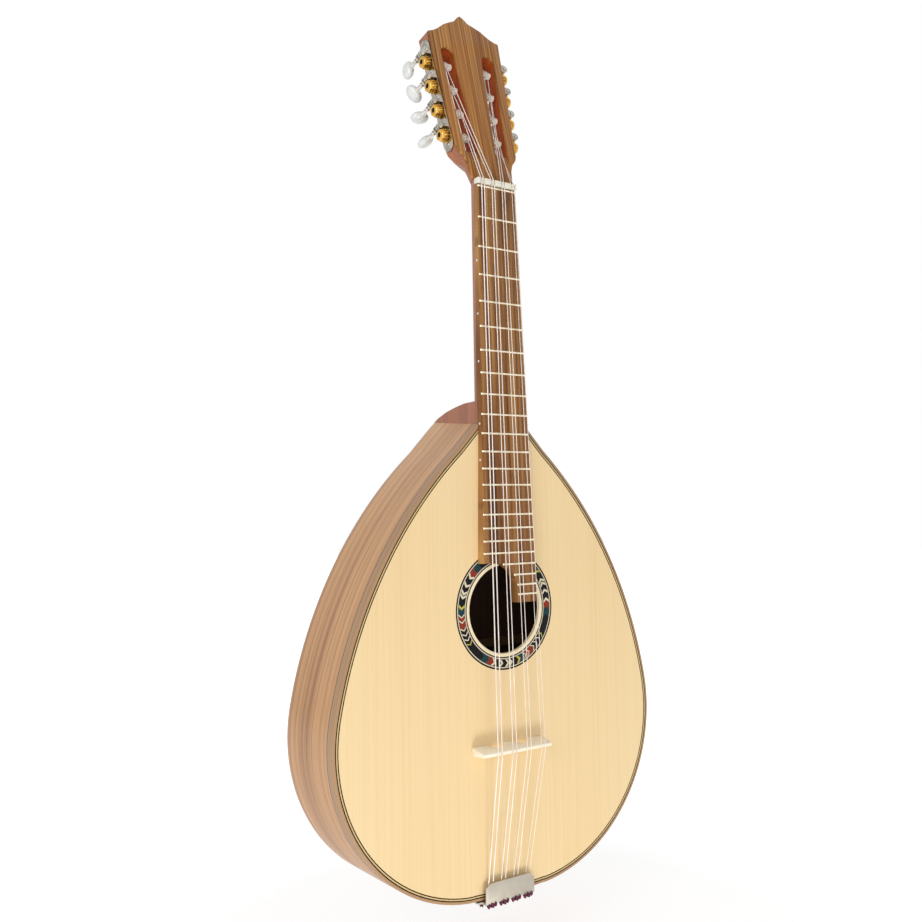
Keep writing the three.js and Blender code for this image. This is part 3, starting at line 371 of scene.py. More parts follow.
# Hard white maple bridge, sanded fine and left pale: almost no figure.
bridge_maple = wood("bleached_maple_bridge", [(0.3, "#fdf1d8"), (0.7, "#fff8e6")], 1.0, 8, 60,
                    roughness=0.4, coat=0.1, along="X")


def dyed_veneer(name, colour, tone=0.12):
    """A sliver of sawn veneer in the inlay, scraped flush and lacquered: one colour with a trace of grain."""
    material, tree, shader = surface(name, Roughness=0.5, Specular_IOR_Level=0.18)
    place = add(tree, "ShaderNodeTexCoord")
    fine = add(tree, "ShaderNodeMapping", Vector=(place, "Object"), Scale=(900, 900, 300))
    grain = add(tree, "ShaderNodeTexNoise", Vector=(fine, "Vector"), Scale=1.0, Detail=2.0)
    shade = add(tree, "ShaderNodeMapRange", Value=(grain, "Fac"), To_Min=1 - tone, To_Max=1 + tone)
    scaled = add(tree, "ShaderNodeVectorMath", {"operation": "SCALE"}, _0=linear(colour)[:3],
                 Scale=(shade, "Result"))
    tree.links.new(scaled.outputs["Vector"], shader.inputs["Base Color"])
    return material


# Veneer slivers of the rosette and the purfling lines.
veneers = {
    "black": dyed_veneer("black_veneer", "#070606"),
    "white": dyed_veneer("white_veneer", "#ddd2b8", 0.06),
    "red": dyed_veneer("red_veneer", "#8c3222"),
    "teal": dyed_veneer("teal_veneer", "#143a3e"),
    "yellow": dyed_veneer("yellow_veneer", "#bdb04f", 0.08),
    "brown": dyed_veneer("brown_veneer", "#1a1008"),
    "straw": dyed_veneer("straw_veneer", "#d9bb84"),
}


def bone_white():
    """Ox bone, filed and polished: warm white, faint streaks 1 mm apart, a soft gloss."""
    material, tree, shader = surface("polished_bone", Roughness=0.28, IOR=1.54)
    place = add(tree, "ShaderNodeTexCoord")
    fine = add(tree, "ShaderNodeMapping", Vector=(place, "Object"), Scale=(150, 1000, 1000))
    streak = add(tree, "ShaderNodeTexNoise", Vector=(fine, "Vector"), Scale=1.0, Detail=2.0)
    tone = add(tree, "ShaderNodeValToRGB", stops=[(0.3, "#e9e3d0"), (0.7, "#f6f2e4")], Fac=(streak, "Fac"))
    tree.links.new(tone.outputs["Color"], shader.inputs["Base Color"])
    return material


def pearl_plastic():
    """Pearloid acetate, moulded and buffed: cloudy white flakes a millimetre or two wide, a high gloss."""
    material, tree, shader = surface("moulded_pearl_plastic", Roughness=0.14, IOR=1.48, Coat_Weight=0.5)
    place = add(tree, "ShaderNodeTexCoord")
    swirl = add(tree, "ShaderNodeTexNoise", Vector=(place, "Object"), Scale=260.0, Detail=2.0, Distortion=1.2)
    flakes = add(tree, "ShaderNodeTexVoronoi", {"feature": "SMOOTH_F1"}, Vector=(swirl, "Color"), Scale=7.0)
    tone = add(tree, "ShaderNodeValToRGB", stops=[(0.1, "#e9ebe8"), (0.45, "#e2e5e2"), (0.8, "#d8dcd9")],
               Fac=(flakes, "Distance"))
    tree.links.new(tone.outputs["Color"], shader.inputs["Base Color"])
    return material


def plated(name, colour, dull, roughness, spread):
    """Plated or polished metal: the roughness and tone wander a little where hands and tools have rubbed."""
    material, tree, shader = surface(name, Metallic=1.0)
    place = add(tree, "ShaderNodeTexCoord")
    rub = add(tree, "ShaderNodeTexNoise", Vector=(place, "Object"), Scale=1000 / RUBBED_PATCH_MM, Detail=4.0)
    tone = add(tree, "ShaderNodeValToRGB", stops=[(0.3, dull), (0.6, colour)], Fac=(rub, "Fac"))
    rough = add(tree, "ShaderNodeMapRange", Value=(rub, "Fac"), To_Min=roughness - spread,
                To_Max=roughness + spread)
    tree.links.new(tone.outputs["Color"], shader.inputs["Base Color"])
    tree.links.new(rough.outputs["Result"], shader.inputs["Roughness"])
    return material


# Nickel-plated sheet steel, stamped and tumbled: warm grey, a soft mirror. Plates and screws.
nickel = plated("nickel_plated_steel", "#b9b3a8", "#858077", 0.2, 0.07)
# The buttons' long stems, drawn brass tube under a satin nickel: paler and softer than the plates.
stem_nickel = plated("satin_nickel_stem", "#d9d5cd", "#c6c1b8", 0.36, 0.04)
# The tailpiece sheet, nickel plated over a brushed face: duller than the tuners.
satin_nickel = plated("satin_nickel_sheet", "#c2bbae", "#bcb5a7", 0.5, 0.04)
# Turned steel worm shafts, nickel plated and polished: the brightest of the steel.
shaft_steel = plated("polished_shaft_steel", "#bcb8b0", "#a09b92", 0.16, 0.05)
# Cut brass gear wheels, tumbled bright and lacquered: yellow gold.
gear_brass = plated("polished_gear_brass", "#dfb057", "#b98c3e", 0.25, 0.05)
# Drawn nickel-silver fret wire, filed and polished: a faint yellow cast.
fret_wire = plated("nickel_silver_fret_wire", "#efe4cb", "#ddd0b4", 0.22, 0.05)
# Blackened steel in the gear screws.
black_steel = plated("blackened_steel", "#1c1713", "#120f0c", 0.45, 0.08)
# Plain drawn music wire, tinned: a bright silver line.
plain_wire = plated("tinned_music_wire", "#ece3dc", "#dfd6ce", 0.42, 0.05)


def wound_wire():
    """Silver-plated copper wrapped on a steel core. The wraps are 0.2 mm wide, finer than a step away shows,
    so they only spread the gloss, and handling leaves faint duller stretches 15 mm long."""
    material, tree, shader = surface("wound_silver_wire", Metallic=1.0, Roughness=0.5)
    place = add(tree, "ShaderNodeTexCoord")
    rub = add(tree, "ShaderNodeTexNoise", Vector=(place, "Object"), Scale=1000 / 15, Detail=1.0)
    tone = add(tree, "ShaderNodeValToRGB", stops=[(0.3, "#e0d5ce"), (0.7, "#efe5de")], Fac=(rub, "Fac"))
    tree.links.new(tone.outputs["Color"], shader.inputs["Base Color"])
    return material


def wine_silk():
    """Silk thread whipped round the string ends: deep wine red, threads 0.5 mm wide, a soft sheen."""
    material, tree, shader = surface("whipped_wine_silk", Roughness=0.65, Sheen_Weight=0.15,
                                     Sheen_Roughness=0.4)
    thread_mm, waves_in_one = 0.5, 20
    place = add(tree, "ShaderNodeTexCoord")
    threads = add(tree, "ShaderNodeTexWave", {"bands_direction": "DIAGONAL"}, Vector=(place, "Object"),
                  Scale=1000 / (thread_mm * waves_in_one), Distortion=1.0)
    tone = add(tree, "ShaderNodeValToRGB", stops=[(0.1, "#340619"), (0.8, "#701a40")], Fac=(threads, "Fac"))
    tree.links.new(tone.outputs["Color"], shader.inputs["Base Color"])
    bump(tree, shader, (threads, "Fac"), 0.1, 0.6)
    return material


bone = bone_white()
pearl = pearl_plastic()
wound = wound_wire()
silk = wine_silk()


# Mesh building, in millimetres
TURNED_SIDES = 24
CURVE_STEPS = 4
SHARP_EDGE = math.radians(32)


def loft(bm, rings, loop=False, caps=True):
    """Skins rings of as many points each. A loop joins the last ring to the first."""
    rows = [[bm.verts.new(point) for point in ring] for ring in rings]
    pairs = list(zip(rows, rows[1:])) + ([(rows[-1], rows[0])] if loop else [])
    faces = []
    for one, two in pairs:
        for i in range(len(one)):
            j = (i + 1) % len(one)
            faces.append(bm.faces.new((one[i], one[j], two[j], two[i])))
    if caps and not loop:
        faces.append(bm.faces.new(rows[0][::-1]))
        faces.append(bm.faces.new(rows[-1]))
    return rows, faces


def turned(bm, profile, sides=TURNED_SIDES):
    """A piece turned on the Y axis from (radius, y) pairs, with flat ends."""
    around = [FULL_TURN * k / sides for k in range(sides)]
    rings = []
    for radius, y in profile:
        rings.append([Vector((radius * math.sin(a), y, radius * math.cos(a))) for a in around])
    loft(bm, rings)


def tube(bm, points, radius, sides, wobble=None):
    """A round wire through points, its rings carried along without twist."""
    points = [Vector(point) for point in points]
    rings, side = [], None
    for i, point in enumerate(points):
        ahead = (points[min(i + 1, len(points) - 1)] - points[max(i - 1, 0)]).normalized()
        if side is None:
            side = Vector((1, 0, 0)) if abs(ahead.x) < 0.7 else Vector((0, 1, 0))
        side = (side - ahead * side.dot(ahead)).normalized()
        up = ahead.cross(side)
        reach = radius * (wobble(i) if wobble else 1)
        turns = [FULL_TURN * k / sides for k in range(sides)]
        rings.append([point + reach * (math.cos(a) * side + math.sin(a) * up) for a in turns])
    loft(bm, rings)


def rounded(points, cut):
    """The same route with each corner turned into a short curve that starts this far before it."""
    points = [Vector(point) for point in points]
    route = [points[0]]
    for before, corner, after in zip(points, points[1:], points[2:]):
        back, ahead = before - corner, after - corner
        reach = min(cut, back.length * 0.45, ahead.length * 0.45)
        start, end = corner + back.normalized() * reach, corner + ahead.normalized() * reach
        for k in range(CURVE_STEPS + 1):
            t = k / CURVE_STEPS
            route.append((1 - t) ** 2 * start + 2 * t * (1 - t) * corner + t * t * end)
    return route + [points[-1]]


def bevelled(bm, width):
    """Eases every sharp edge."""
    bm.normal_update()
    sharp = [e for e in bm.edges if len(e.link_faces) == 2 and e.calc_face_angle(0) > SHARP_EDGE]
    bmesh.ops.bevel(bm, geom=sharp, offset=width, segments=2, profile=0.5, affect="EDGES", clamp_overlap=True)


def take_in(bm, part):
    """Moves another piece of mesh work into this one."""
    spare = bpy.data.meshes.new("spare")
    part.to_mesh(spare)
    part.free()
    bm.from_mesh(spare)
    bpy.data.meshes.remove(spare)


def finished(name, bm, body, materials, stands_for=(), place=None, smooth=35):
    """Turns millimetre mesh work into a piece on its body, smooth across its shallow edges."""
    bmesh.ops.recalc_face_normals(bm, faces=bm.faces)
    bm.transform(Matrix.Scale(MM, 4) @ (place or Matrix()))
    mesh = bpy.data.meshes.new(name)
    bm.to_mesh(mesh)
    bm.free()
    for material in materials if isinstance(materials, (list, tuple)) else [materials]:
        mesh.materials.append(material)
    mesh.shade_smooth()
    mesh.set_sharp_from_angle(angle=math.radians(smooth))
    made = bpy.data.objects.new(name, mesh)
    bpy.context.scene.collection.objects.link(made)
    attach(made, body)
    if stands_for:
        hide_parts(*([stands_for] if isinstance(stands_for, str) else stands_for))
    return made


def eased_copy(node, name, body, material, width, smooth=35, rework=None):
    """A CAD solid copied in millimetres, its flat faces made whole and its edges eased."""
    bm = bmesh.new()
    bm.from_mesh(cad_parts[node].data)
    bm.transform(Matrix.Scale(1 / MM, 4))
    bmesh.ops.remove_doubles(bm, verts=bm.verts, dist=0.01)
    bmesh.ops.dissolve_limit(bm, angle_limit=math.radians(0.5), verts=bm.verts, edges=bm.edges)
    if width:
        bevelled(bm, width)
    if rework:
        rework(bm)
    finished(name, bm, body, material, node, smooth=smooth)


# The body
def half_outline(inset):
    """Points from the tail to the heel on the treble side, drawn in by an inset."""
    inset += OUTLINE_DRAW_IN
    tail_steps, bout_steps, shoulder_steps = OUTLINE_STEPS
    points = []

    def arc(centre, radius, start, end, count, first=1):
        for i in range(first, count + 1):
            angle = start + (end - start) * i / count
            reach = radius - inset
            points.append((centre[0] + reach * math.sin(angle), centre[1] - reach * math.cos(angle)))

    tail_angle = math.asin(BOUT_CENTRE[0] / (TAIL_RADIUS - BOUT_RADIUS))
    swing = BOUT_RADIUS - SHOULDER_RADIUS
    shoulder = (BOUT_CENTRE[0] + swing * math.sin(SHOULDER_START),
                BOUT_CENTRE[1] - swing * math.cos(SHOULDER_START))
    end = math.pi - math.asin((SHOULDER_END_HALF_WIDTH - shoulder[0]) / SHOULDER_RADIUS)
    arc((0, TAIL_RADIUS - TAIL_DROP), TAIL_RADIUS, 0, tail_angle, tail_steps, 0)
    arc(BOUT_CENTRE, BOUT_RADIUS, tail_angle, SHOULDER_START, bout_steps)
    arc(shoulder, SHOULDER_RADIUS, SHOULDER_START, end, shoulder_steps)
    top = shoulder[1] - SHOULDER_RADIUS * math.cos(end)
    for inward, up in SHOULDER_TIP_IN_AND_UP:
        drawn = inset * math.sqrt(0.5)
        points.append((SHOULDER_END_HALF_WIDTH - inward - drawn, top + up - drawn))
    return points


def whole_outline(inset):
    half = half_outline(inset)
    return half + [(-x, z) for x, z in reversed(half[1:])]


def heel_plane(side):
    """A point on the heel's side face, and the direction that looks away from the heel."""
    slope = (HEEL_FRONT_HALF_WIDTH - HEEL_BACK_HALF_WIDTH) / BODY_DEPTH
    return Vector((side * HEEL_FRONT_HALF_WIDTH, 0, 0)), Vector((side, slope, 0)).normalized()


def cut_away(bm, point, normal):
    """Cuts the mesh at a plane, drops what lies in front of it, and closes the cut."""
    everything = list(bm.verts) + list(bm.edges) + list(bm.faces)
    cut = bmesh.ops.bisect_plane(bm, geom=everything, plane_co=point, plane_no=normal, clear_outer=True,
                                 dist=0.001)
    rim = [g for g in cut["geom_cut"] if isinstance(g, bmesh.types.BMEdge) and len(g.link_faces) == 1]
    if rim:
        bmesh.ops.holes_fill(bm, edges=rim, sides=0)


def rim_strip(bm, section, side):
    """Sweeps a section of (inset, y) corners up one side of the body, from the tail to the heel's face."""
    paths = [half_outline(inset) for inset, _ in section]
    rings = []
    for k in range(len(paths[0])):
        rings.append([Vector((side * path[k][0], y, path[k][1])) for path, (_, y) in zip(paths, section)])
    loft(bm, rings)
    point, normal = heel_plane(side)
    cut_away(bm, point, -normal)


def along_the_bend(made):
    """Stores each point's depth and its distance round the body from the tail, for grain that follows the
    bend. The two sides come from different places in the plank."""
    other_place = 0.1
    line = half_outline(0)
    travelled = [0.0]
    for (x0, z0), (x1, z1) in zip(line, line[1:]):
        travelled.append(travelled[-1] + math.hypot(x1 - x0, z1 - z0))
    layer = made.data.attributes.new("grain", "FLOAT_VECTOR", "POINT")
    for i, vertex in enumerate(made.data.vertices):
        x, y, z = vertex.co / MM
        nearest = min(range(len(line)), key=lambda k: (line[k][0] - abs(x)) ** 2 + (line[k][1] - z) ** 2)
        layer.data[i].vector = (y * MM, other_place if x > 0 else 0, travelled[nearest] * MM)


def binding_section():
    """Corners of the binding's section, with its outer front and back corners eased."""
    steps = 3
    corners = [(BINDING_THICKNESS, 0)]
    for corner_y, ease, inward in ((0, BINDING_EASES[0], 1), (BINDING_DEPTH, BINDING_EASES[1], -1)):
        quarter = [math.pi / 2 * k / steps for k in range(steps + 1)][::inward]
        corners += [(ease * (1 - math.sin(a)), corner_y + inward * ease * (1 - math.cos(a))) for a in quarter]
    return corners + [(BINDING_THICKNESS, BINDING_DEPTH)]


def rim_piece(name, section, material, stands_for, sides=(-1, 1)):
    bm = bmesh.new()
    for side in sides:
        one = bmesh.new()
        rim_strip(one, section, side)
        take_in(bm, one)
    along_the_bend(finished(name, bm, "body", material, stands_for))


def strip_section(outer, inner, y0, y1):
    """Corners of a plain strip's section."""
    return [(inner, y0), (outer, y0), (outer, y1), (inner, y1)]


def make_sides():
    """Ribs, front binding and the purfling lines, each swept round the body."""
    front, back = BINDING_DEPTH + SIDE_LINE_WIDTH, BODY_DEPTH - BACK_BINDING_DEPTH
    for side, name in ((-1, "bass"), (1, "treble")):
        rim_piece(f"rib_{name}_skin", strip_section(0, RIB_THICKNESS, front, back), rib_walnut,
                  f"rib_{name}", (side,))
    rim_piece("binding_strip", binding_section(), binding_maple, "binding")
    rim_piece("side_line", strip_section(0, SIDE_LINE_DEPTH, BINDING_DEPTH, front),
              veneers["brown"], ())
    for name, outer, inner, shade in PURFLING_LINES:
        rim_piece(f"purfling_{name}", strip_section(outer, inner, 0, PURFLING_DEPTH),
                  veneers[shade], ())


def flat_ring(inset, y):
    return [Vector((x, y, z)) for x, z in whole_outline(inset)]


def make_back():
    bm = bmesh.new()
    rings = [flat_ring(0, BODY_DEPTH - BACK_BINDING_DEPTH)]
    rings += [flat_ring(inset, BODY_DEPTH - before) for inset, before in BACK_EDGE]
    # The back's inner face takes the near-black walnut, painted shade for the dark inside of the body.
    inner_face = loft(bm, rings)[1][-2]
    inner_face.material_index = 1
    cut_away(bm, Vector((0, 0, -HEEL_BACK_DROP)), Vector((0, 0, 1)))
    finished("back_board", bm, "body", [back_walnut, inner_walnut_painted_shade], "back_plate")


def hole_ring(radius, y):
    turns = [FULL_TURN * k / HOLE_STEPS for k in range(HOLE_STEPS)]
    return [Vector((radius * math.sin(a), y, radius * math.cos(a) - HOLE_DROP)) for a in turns]


ROSETTE_LINES = [(49.4, 48.0, "black"), (48.0, 47.25, "white"), (47.25, 46.9, "black"),
                 (41.0, 40.7, "black"), (40.7, 39.95, "white"), (39.95, 38.9, "black")]
ROSETTE_BAND = (46.9, 41.0)
# The marquetry band's run of colours, counter-clockwise: (colour, slivers)
ROSETTE_RUN = [("red", 5), ("white", 2), ("black", 5), ("white", 2), ("black", 4), ("white", 2), ("black", 1),
               ("white", 2), ("black", 6), ("yellow", 2), ("teal", 5), ("white", 1), ("red", 3), ("white", 1),
               ("red", 5), ("white", 1), ("black", 3), ("white", 1), ("black", 3), ("white", 1), ("black", 3),
               ("yellow", 1), ("black", 15), ("teal", 6)]
ROSETTE_SLIVERS = 256
ROSETTE_FIRST_RED = 29
CHEVRON_REACH = math.radians(3.2)


def make_soundboard():
    """The top: an outer field, the rosette's channel, a lighter ring and the hole's eased edge."""
    bm = bmesh.new()
    outer, inner = ROSETTE_LINES[0][0], ROSETTE_LINES[-1][1]
    front = [bm.verts.new(point) for point in flat_ring(TOP_EDGE_INSET, 0)]
    back = [bm.verts.new(point) for point in flat_ring(TOP_EDGE_INSET, PLATE_THICKNESS)]
    count = len(front)
    for i in range(count):
        j = (i + 1) % count
        bm.faces.new((front[i], front[j], back[j], back[i]))
    channel = [(outer, 0), (outer, ROSETTE_DEPTH), (inner, ROSETTE_DEPTH), (inner, 0)]
    edge = [(HOLE_RADIUS + out, y) for out, y in HOLE_EDGE] + [(HOLE_RADIUS, PLATE_THICKNESS)]
    rows, faces = loft(bm, [hole_ring(radius, y) for radius, y in channel + edge], caps=False)
    for face in faces[(len(channel) - 1) * len(rows[0]):]:
        face.material_index = 1
    for loops in ((front, rows[0]), (back, rows[-1])):
        edges = []
        for loop in loops:
            edges += [bm.edges.get((loop[i], loop[(i + 1) % len(loop)])) for i in range(len(loop))]
        bmesh.ops.triangle_fill(bm, use_beauty=True, edges=edges)
    cut_away(bm, Vector((0, 0, -NECK_JOINT_DROP)), Vector((0, 0, 1)))
    finished("spruce_top", bm, "body", [spruce, ring_spruce], "soundboard", smooth=25)


def make_rosette():
    """Rings of line veneer either side of a band of chevrons that all point one way round."""
    bm = bmesh.new()
    order = list(veneers)
    for outer, inner, shade in ROSETTE_LINES:
        corners = [(outer, ROSETTE_DEPTH), (outer, 0), (inner, 0), (inner, ROSETTE_DEPTH)]
        for face in loft(bm, [hole_ring(radius, y) for radius, y in corners], loop=True)[1]:
            face.material_index = order.index(shade)
    run = [shade for shade, count in ROSETTE_RUN for _ in range(count)]
    slivers = [run[(k - ROSETTE_FIRST_RED) % len(run)] for k in range(ROSETTE_SLIVERS)]
    outer, inner = ROSETTE_BAND
    middle = (outer + inner) / 2
    rows = []
    for k in range(len(slivers)):
        angle = -FULL_TURN * k / len(slivers)
        row = []
        for radius, y, lead in ((outer, ROSETTE_DEPTH, 0), (outer, 0, 0), (middle, 0, CHEVRON_REACH),
                                (inner, 0, 0), (inner, ROSETTE_DEPTH, 0)):
            a = angle - lead
            row.append(Vector((radius * math.sin(a), y, radius * math.cos(a) - HOLE_DROP)))
        rows.append(row)
    faces = loft(bm, rows, loop=True)[1]
    width = len(rows[0])
    for k, shade in enumerate(slivers):
        for face in faces[k * width:(k + 1) * width]:
            face.material_index = order.index(shade)
    finished("rosette_inlay", bm, "body", list(veneers.values()), "rosette", smooth=25)


def board_outline():
    """Corners of the fingerboard seen from the front, with the curved step beside its tongue."""
    steps = 16
    full_end = -BOARD_FULL_END_DROP
    points = [(-board_half_width(0), BOARD_OVER_NUT), (-board_half_width(-full_end), full_end),
              (STEP_START, full_end)]
    start, corner = Vector(points[-1]), Vector((STEP_CORNER[0], -STEP_CORNER[1]))
    end = Vector((TONGUE_LEFT, -STEP_CURVE_END_DROP))
    for k in range(1, steps + 1):
        t = k / steps
        points.append(tuple((1 - t) ** 2 * start + 2 * t * (1 - t) * corner + t * t * end))
    points += [(TONGUE_LEFT, -BOARD_END_DROP), (board_half_width(BOARD_END_DROP), -BOARD_END_DROP),
               (board_half_width(0), BOARD_OVER_NUT)]
    return points


def make_fretboard():
    """The board, thickened towards the hole so that it lies on the top, with wires and side dots let in."""
    bm = bmesh.new()
    outline = board_outline()
    sinks = NECK.inverted()
    under = FRET_HEIGHT + BOARD_THICKNESS
    front = [Vector((x, FRET_HEIGHT, z)) for x, z in outline]
    back = []
    for x, z in outline:
        on_top = sinks @ Vector((x, 0, z))
        back.append(Vector((x, on_top.y if -z > NECK_JOINT_DROP else under, z)))
    loft(bm, [front, back])
    bevelled(bm, BOARD_EDGE_EASE)
    finished("fingerboard", bm, "body", board_wood, "fretboard", place=NECK, smooth=25)
    bm = bmesh.new()
    for number in range(FRETS + 1):
        drop = fret_drop(number)
        left, right = -board_half_width(drop) + FRET_END_INSET, board_half_width(drop) - FRET_END_INSET
        if number > LAST_FULL_FRET:
            left = wire_start(drop)
        wire(bm, drop, left, right)
    finished("fret_wires", bm, "body", fret_wire, place=NECK, smooth=50)
    bm = bmesh.new()
    for number in DOT_FRETS:
        middle = (fret_drop(number - 1) + fret_drop(number)) / 2
        dot = bmesh.new()
        turned(dot, DOT_PROFILE, 20)
        edge = -board_half_width(middle)
        place = Matrix.Translation((edge + DOT_SUNK, FRET_HEIGHT + BOARD_THICKNESS / 2, -middle))
        dot.transform(place @ QUARTER_TURN)
        take_in(bm, dot)
    finished("side_dots", bm, "body", pearl, place=NECK)


def wire_start(drop):
    """Where the curved step crosses a fret."""
    for (x0, z0), (x1, z1) in zip(board_outline()[2:], board_outline()[3:]):
        if z0 >= -drop >= z1 and z0 > z1:
            return x0 + (x1 - x0) * (z0 + drop) / (z0 - z1) + FRET_END_INSET
    return STEP_START


def wire(bm, drop, left, right):
    """One fret: a crown with rounded shoulders, its ends filed to a slope."""
    section = [(math.cos(math.pi * k / 8), math.sin(math.pi * k / 8)) for k in range(9)]
    foot = FRET_HEIGHT + FRET_SUNK
    rings = []
    for x, share in [(left + inward, share) for inward, share in FRET_END_SLOPE] + \
                    [(right - inward, share) for inward, share in FRET_END_SLOPE[::-1]]:
        ring = [Vector((x, FRET_HEIGHT * (1 - share * s), -drop + FRET_HALF_WIDTH * c)) for c, s in section]
        ring += [Vector((x, foot, -drop - FRET_HALF_WIDTH)), Vector((x, foot, -drop + FRET_HALF_WIDTH))]
        rings.append(ring)
    loft(bm, rings)


# Strings
def string_x(number, spread):
    centre, course, pair = spread
    return centre + (number // 2 - 1.5) * course + (number % 2 - 0.5) * pair


def string_route(number):
    """From the loop on its hook, under the flap, over the bridge and nut, to its roller."""
    radius = STRING_DIAMETERS[number] / 2
    lift = radius + STRING_CLEARANCE
    outward = -1 if number % 2 == 0 else 1
    bend = HOOK_RADIUS + STRING_CLEARANCE + radius
    tail_x = string_x(number, TAIL_SPREAD)
    centre = tail_x + outward * bend
    loop_z = -TAIL_DROP - SEAT - TAILPIECE_SHEET - LOOP_DROP
    under_flap = -FLAP_STANDOFF + TAILPIECE_SHEET + radius
    loop = [Vector((centre + outward * bend, HOOK_SETBACK - LOOP_TAIL, loop_z))]
    for i in range(LOOP_STEPS + 1):
        a = math.pi * i / LOOP_STEPS
        x, y = centre + outward * bend * math.cos(a), HOOK_SETBACK + bend * math.sin(a)
        loop.append(Vector((x, y, loop_z)))
    rise = [loop[-1], (tail_x, under_flap + bend, loop_z), (tail_x, under_flap, loop_z + bend),
            (tail_x, under_flap, -TAIL_DROP + FLAP_HEIGHT / 2)]
    route = loop + rounded(rise, TAIL_BEND)[1:]
    nut_end = BOARD_OVER_NUT + NUT_GAP + NUT_LENGTH
    nut_x = string_x(number, NUT_SPREAD)
    winding = winding_points(number)
    bridge_x = string_x(number, BRIDGE_SPREAD)
    span = [route[-1], Vector((bridge_x, -SEAT - BRIDGE_HEIGHT - lift, -BRIDGE_DROP - BRIDGE_BREAK_SETBACK)),
            NECK @ Vector((nut_x, -lift, 0)), NECK @ Vector((nut_x, -lift, BOARD_OVER_NUT + NUT_GAP)),
            NECK @ Vector((nut_x, NUT_PROUD - lift, nut_end)), winding[0]]
    return route, rounded(span, SPAN_BEND), winding


def winding_points(number):
    """Turns on the roller, from the side that faces the player round towards the tip."""
    side = -1 if number < 4 else 1
    place = number if side < 0 else 7 - number
    diameter = STRING_DIAMETERS[number]
    radius = ROLLER_RADIUS + STRING_CLEARANCE + diameter / 2
    pitch = diameter + WINDING_GAP
    inward = -1 if place >= 2 else 1
    middle = CHEEK_THICKNESS + SLOT_HALF_WIDTH
    points = []
    for i in range(WINDING_TURNS * WINDING_STEPS + 1):
        turn = i / WINDING_STEPS
        along = middle + inward * pitch * (WINDING_TURNS / 2 - turn)
        a = FULL_TURN * turn
        rise = place * TUNER_PITCH + radius * math.sin(a)
        points.append(Vector((-side * along, -radius * math.cos(a), rise)))
    return [cheek(side) @ point for point in points]


def make_silk(number, tail):
    """The whipping: a sleeve round the string's loop, and two soft curls of it below the flap."""
    radius = STRING_DIAMETERS[number] / 2
    bm = bmesh.new()
    tube(bm, tail, radius + SILK_SLEEVE, 12, lambda i: 1 + 0.05 * math.sin(2.1 * i + number))
    x, y = string_x(number, TAIL_SPREAD), -FLAP_STANDOFF + TAILPIECE_SHEET + radius
    out = 0.5 * (number % 2) - 0.25
    for sway, lift in SILK_CURLS:
        low = SILK_LOW_END + lift
        curl = rounded([(x + sway + out, y, SILK_LOW_END + 4.7), (x + sway, y - 0.4, low + 1.2),
                        (x + 1.3 * sway, -4.8, low), (x + 1.6 * sway - 0.4 * out, -5.6, low + 2),
                        (x + sway, -5.1, low + 2.9)], TAIL_BEND)
        tube(bm, curl, SILK_THICK / 2, 10, lambda i: 1 + 0.1 * math.sin(1.9 * i + 1.7 * number))
    finished(f"string_silk_{number + 1}", bm, "body", silk, smooth=60)


def make_strings():
    for number, diameter in enumerate(STRING_DIAMETERS):
        tail, span, winding = string_route(number)
        bm = bmesh.new()
        tube(bm, tail + span[1:] + winding[1:], diameter / 2, 10)
        material = wound if number < WOUND_STRINGS else plain_wire
        finished(f"string_wire_{number + 1}", bm, "body", material, f"string_{number + 1}", smooth=60)
        make_silk(number, tail)


# The tuners, drawn for the treble cheek and mirrored for the bass one
def mirror(bm, side):
    if side < 0:
        bm.transform(Matrix.Scale(-1, 4, (1, 0, 0)))


def across_the_head(bm, side):
    """Turns a piece from the Y axis to the way that the rollers lie."""
    bm.transform(QUARTER_TURN)
    mirror(bm, side)


def on_shaft(y, radius_at):
    """A ring across the worm shaft. The radius is a number, or a function of the place round the ring."""
    ring = []
    for k in range(TURNED_SIDES):
        a = FULL_TURN * k / TURNED_SIDES
        radius = radius_at(k) if callable(radius_at) else radius_at
        ring.append(Vector((radius * math.sin(a), y, radius * math.cos(a))))
    return ring


def gear_ring(x, twist, tip, root):
    """One slice across the gear's teeth."""
    points = []
    step = FULL_TURN / GEAR_TEETH
    low, high = TOOTH_ROOT / GEAR_ROOT_RADIUS / 2, TOOTH_TIP / GEAR_TIP_RADIUS / 2
    for i in range(GEAR_TEETH):
        middle = math.pi + step / 2 + i * step + twist
        for radius, offset in ((root, -low), (tip, -high), (tip, high), (root, low)):
            a = middle + offset
            points.append(Vector((x, radius * math.sin(a), -radius * math.cos(a))))
    return points


def make_gear(side, name, place):
    """A brass drum: a toothed band beside the plate and a plain domed end."""
    bm = bmesh.new()
    slope = GEAR_LEAD / (FULL_TURN * WORM_PITCH_RADIUS) / GEAR_PITCH_RADIUS
    tip, root, dome, half = GEAR_TIP_RADIUS, GEAR_ROOT_RADIUS, GEAR_DOME_RADIUS, GEAR_WIDTH / 2
    toothed = [(-half, tip - 0.5, root - 0.3), (-half + 0.45, tip, root), (-1.6, tip, root),
               (-0.5, tip, root), (0.6, tip, root), (1.0, tip - 0.35, root + 0.1), (1.15, dome, dome - 0.12)]
    domed = [(2.2, dome, dome)] + [(half - before, dome - inward, dome - inward)
                                   for before, inward in ((0.75, 0.2), (0.25, 0.65), (0, 1.35))]
    loft(bm, [gear_ring(GEAR_MID + along, slope * along, high, low) for along, high, low in toothed + domed])
    mirror(bm, side)
    finished(f"gear_wheel_{name}", bm, f"spindle_{name}", gear_brass, f"gear_{name}",
             place=place, smooth=30)


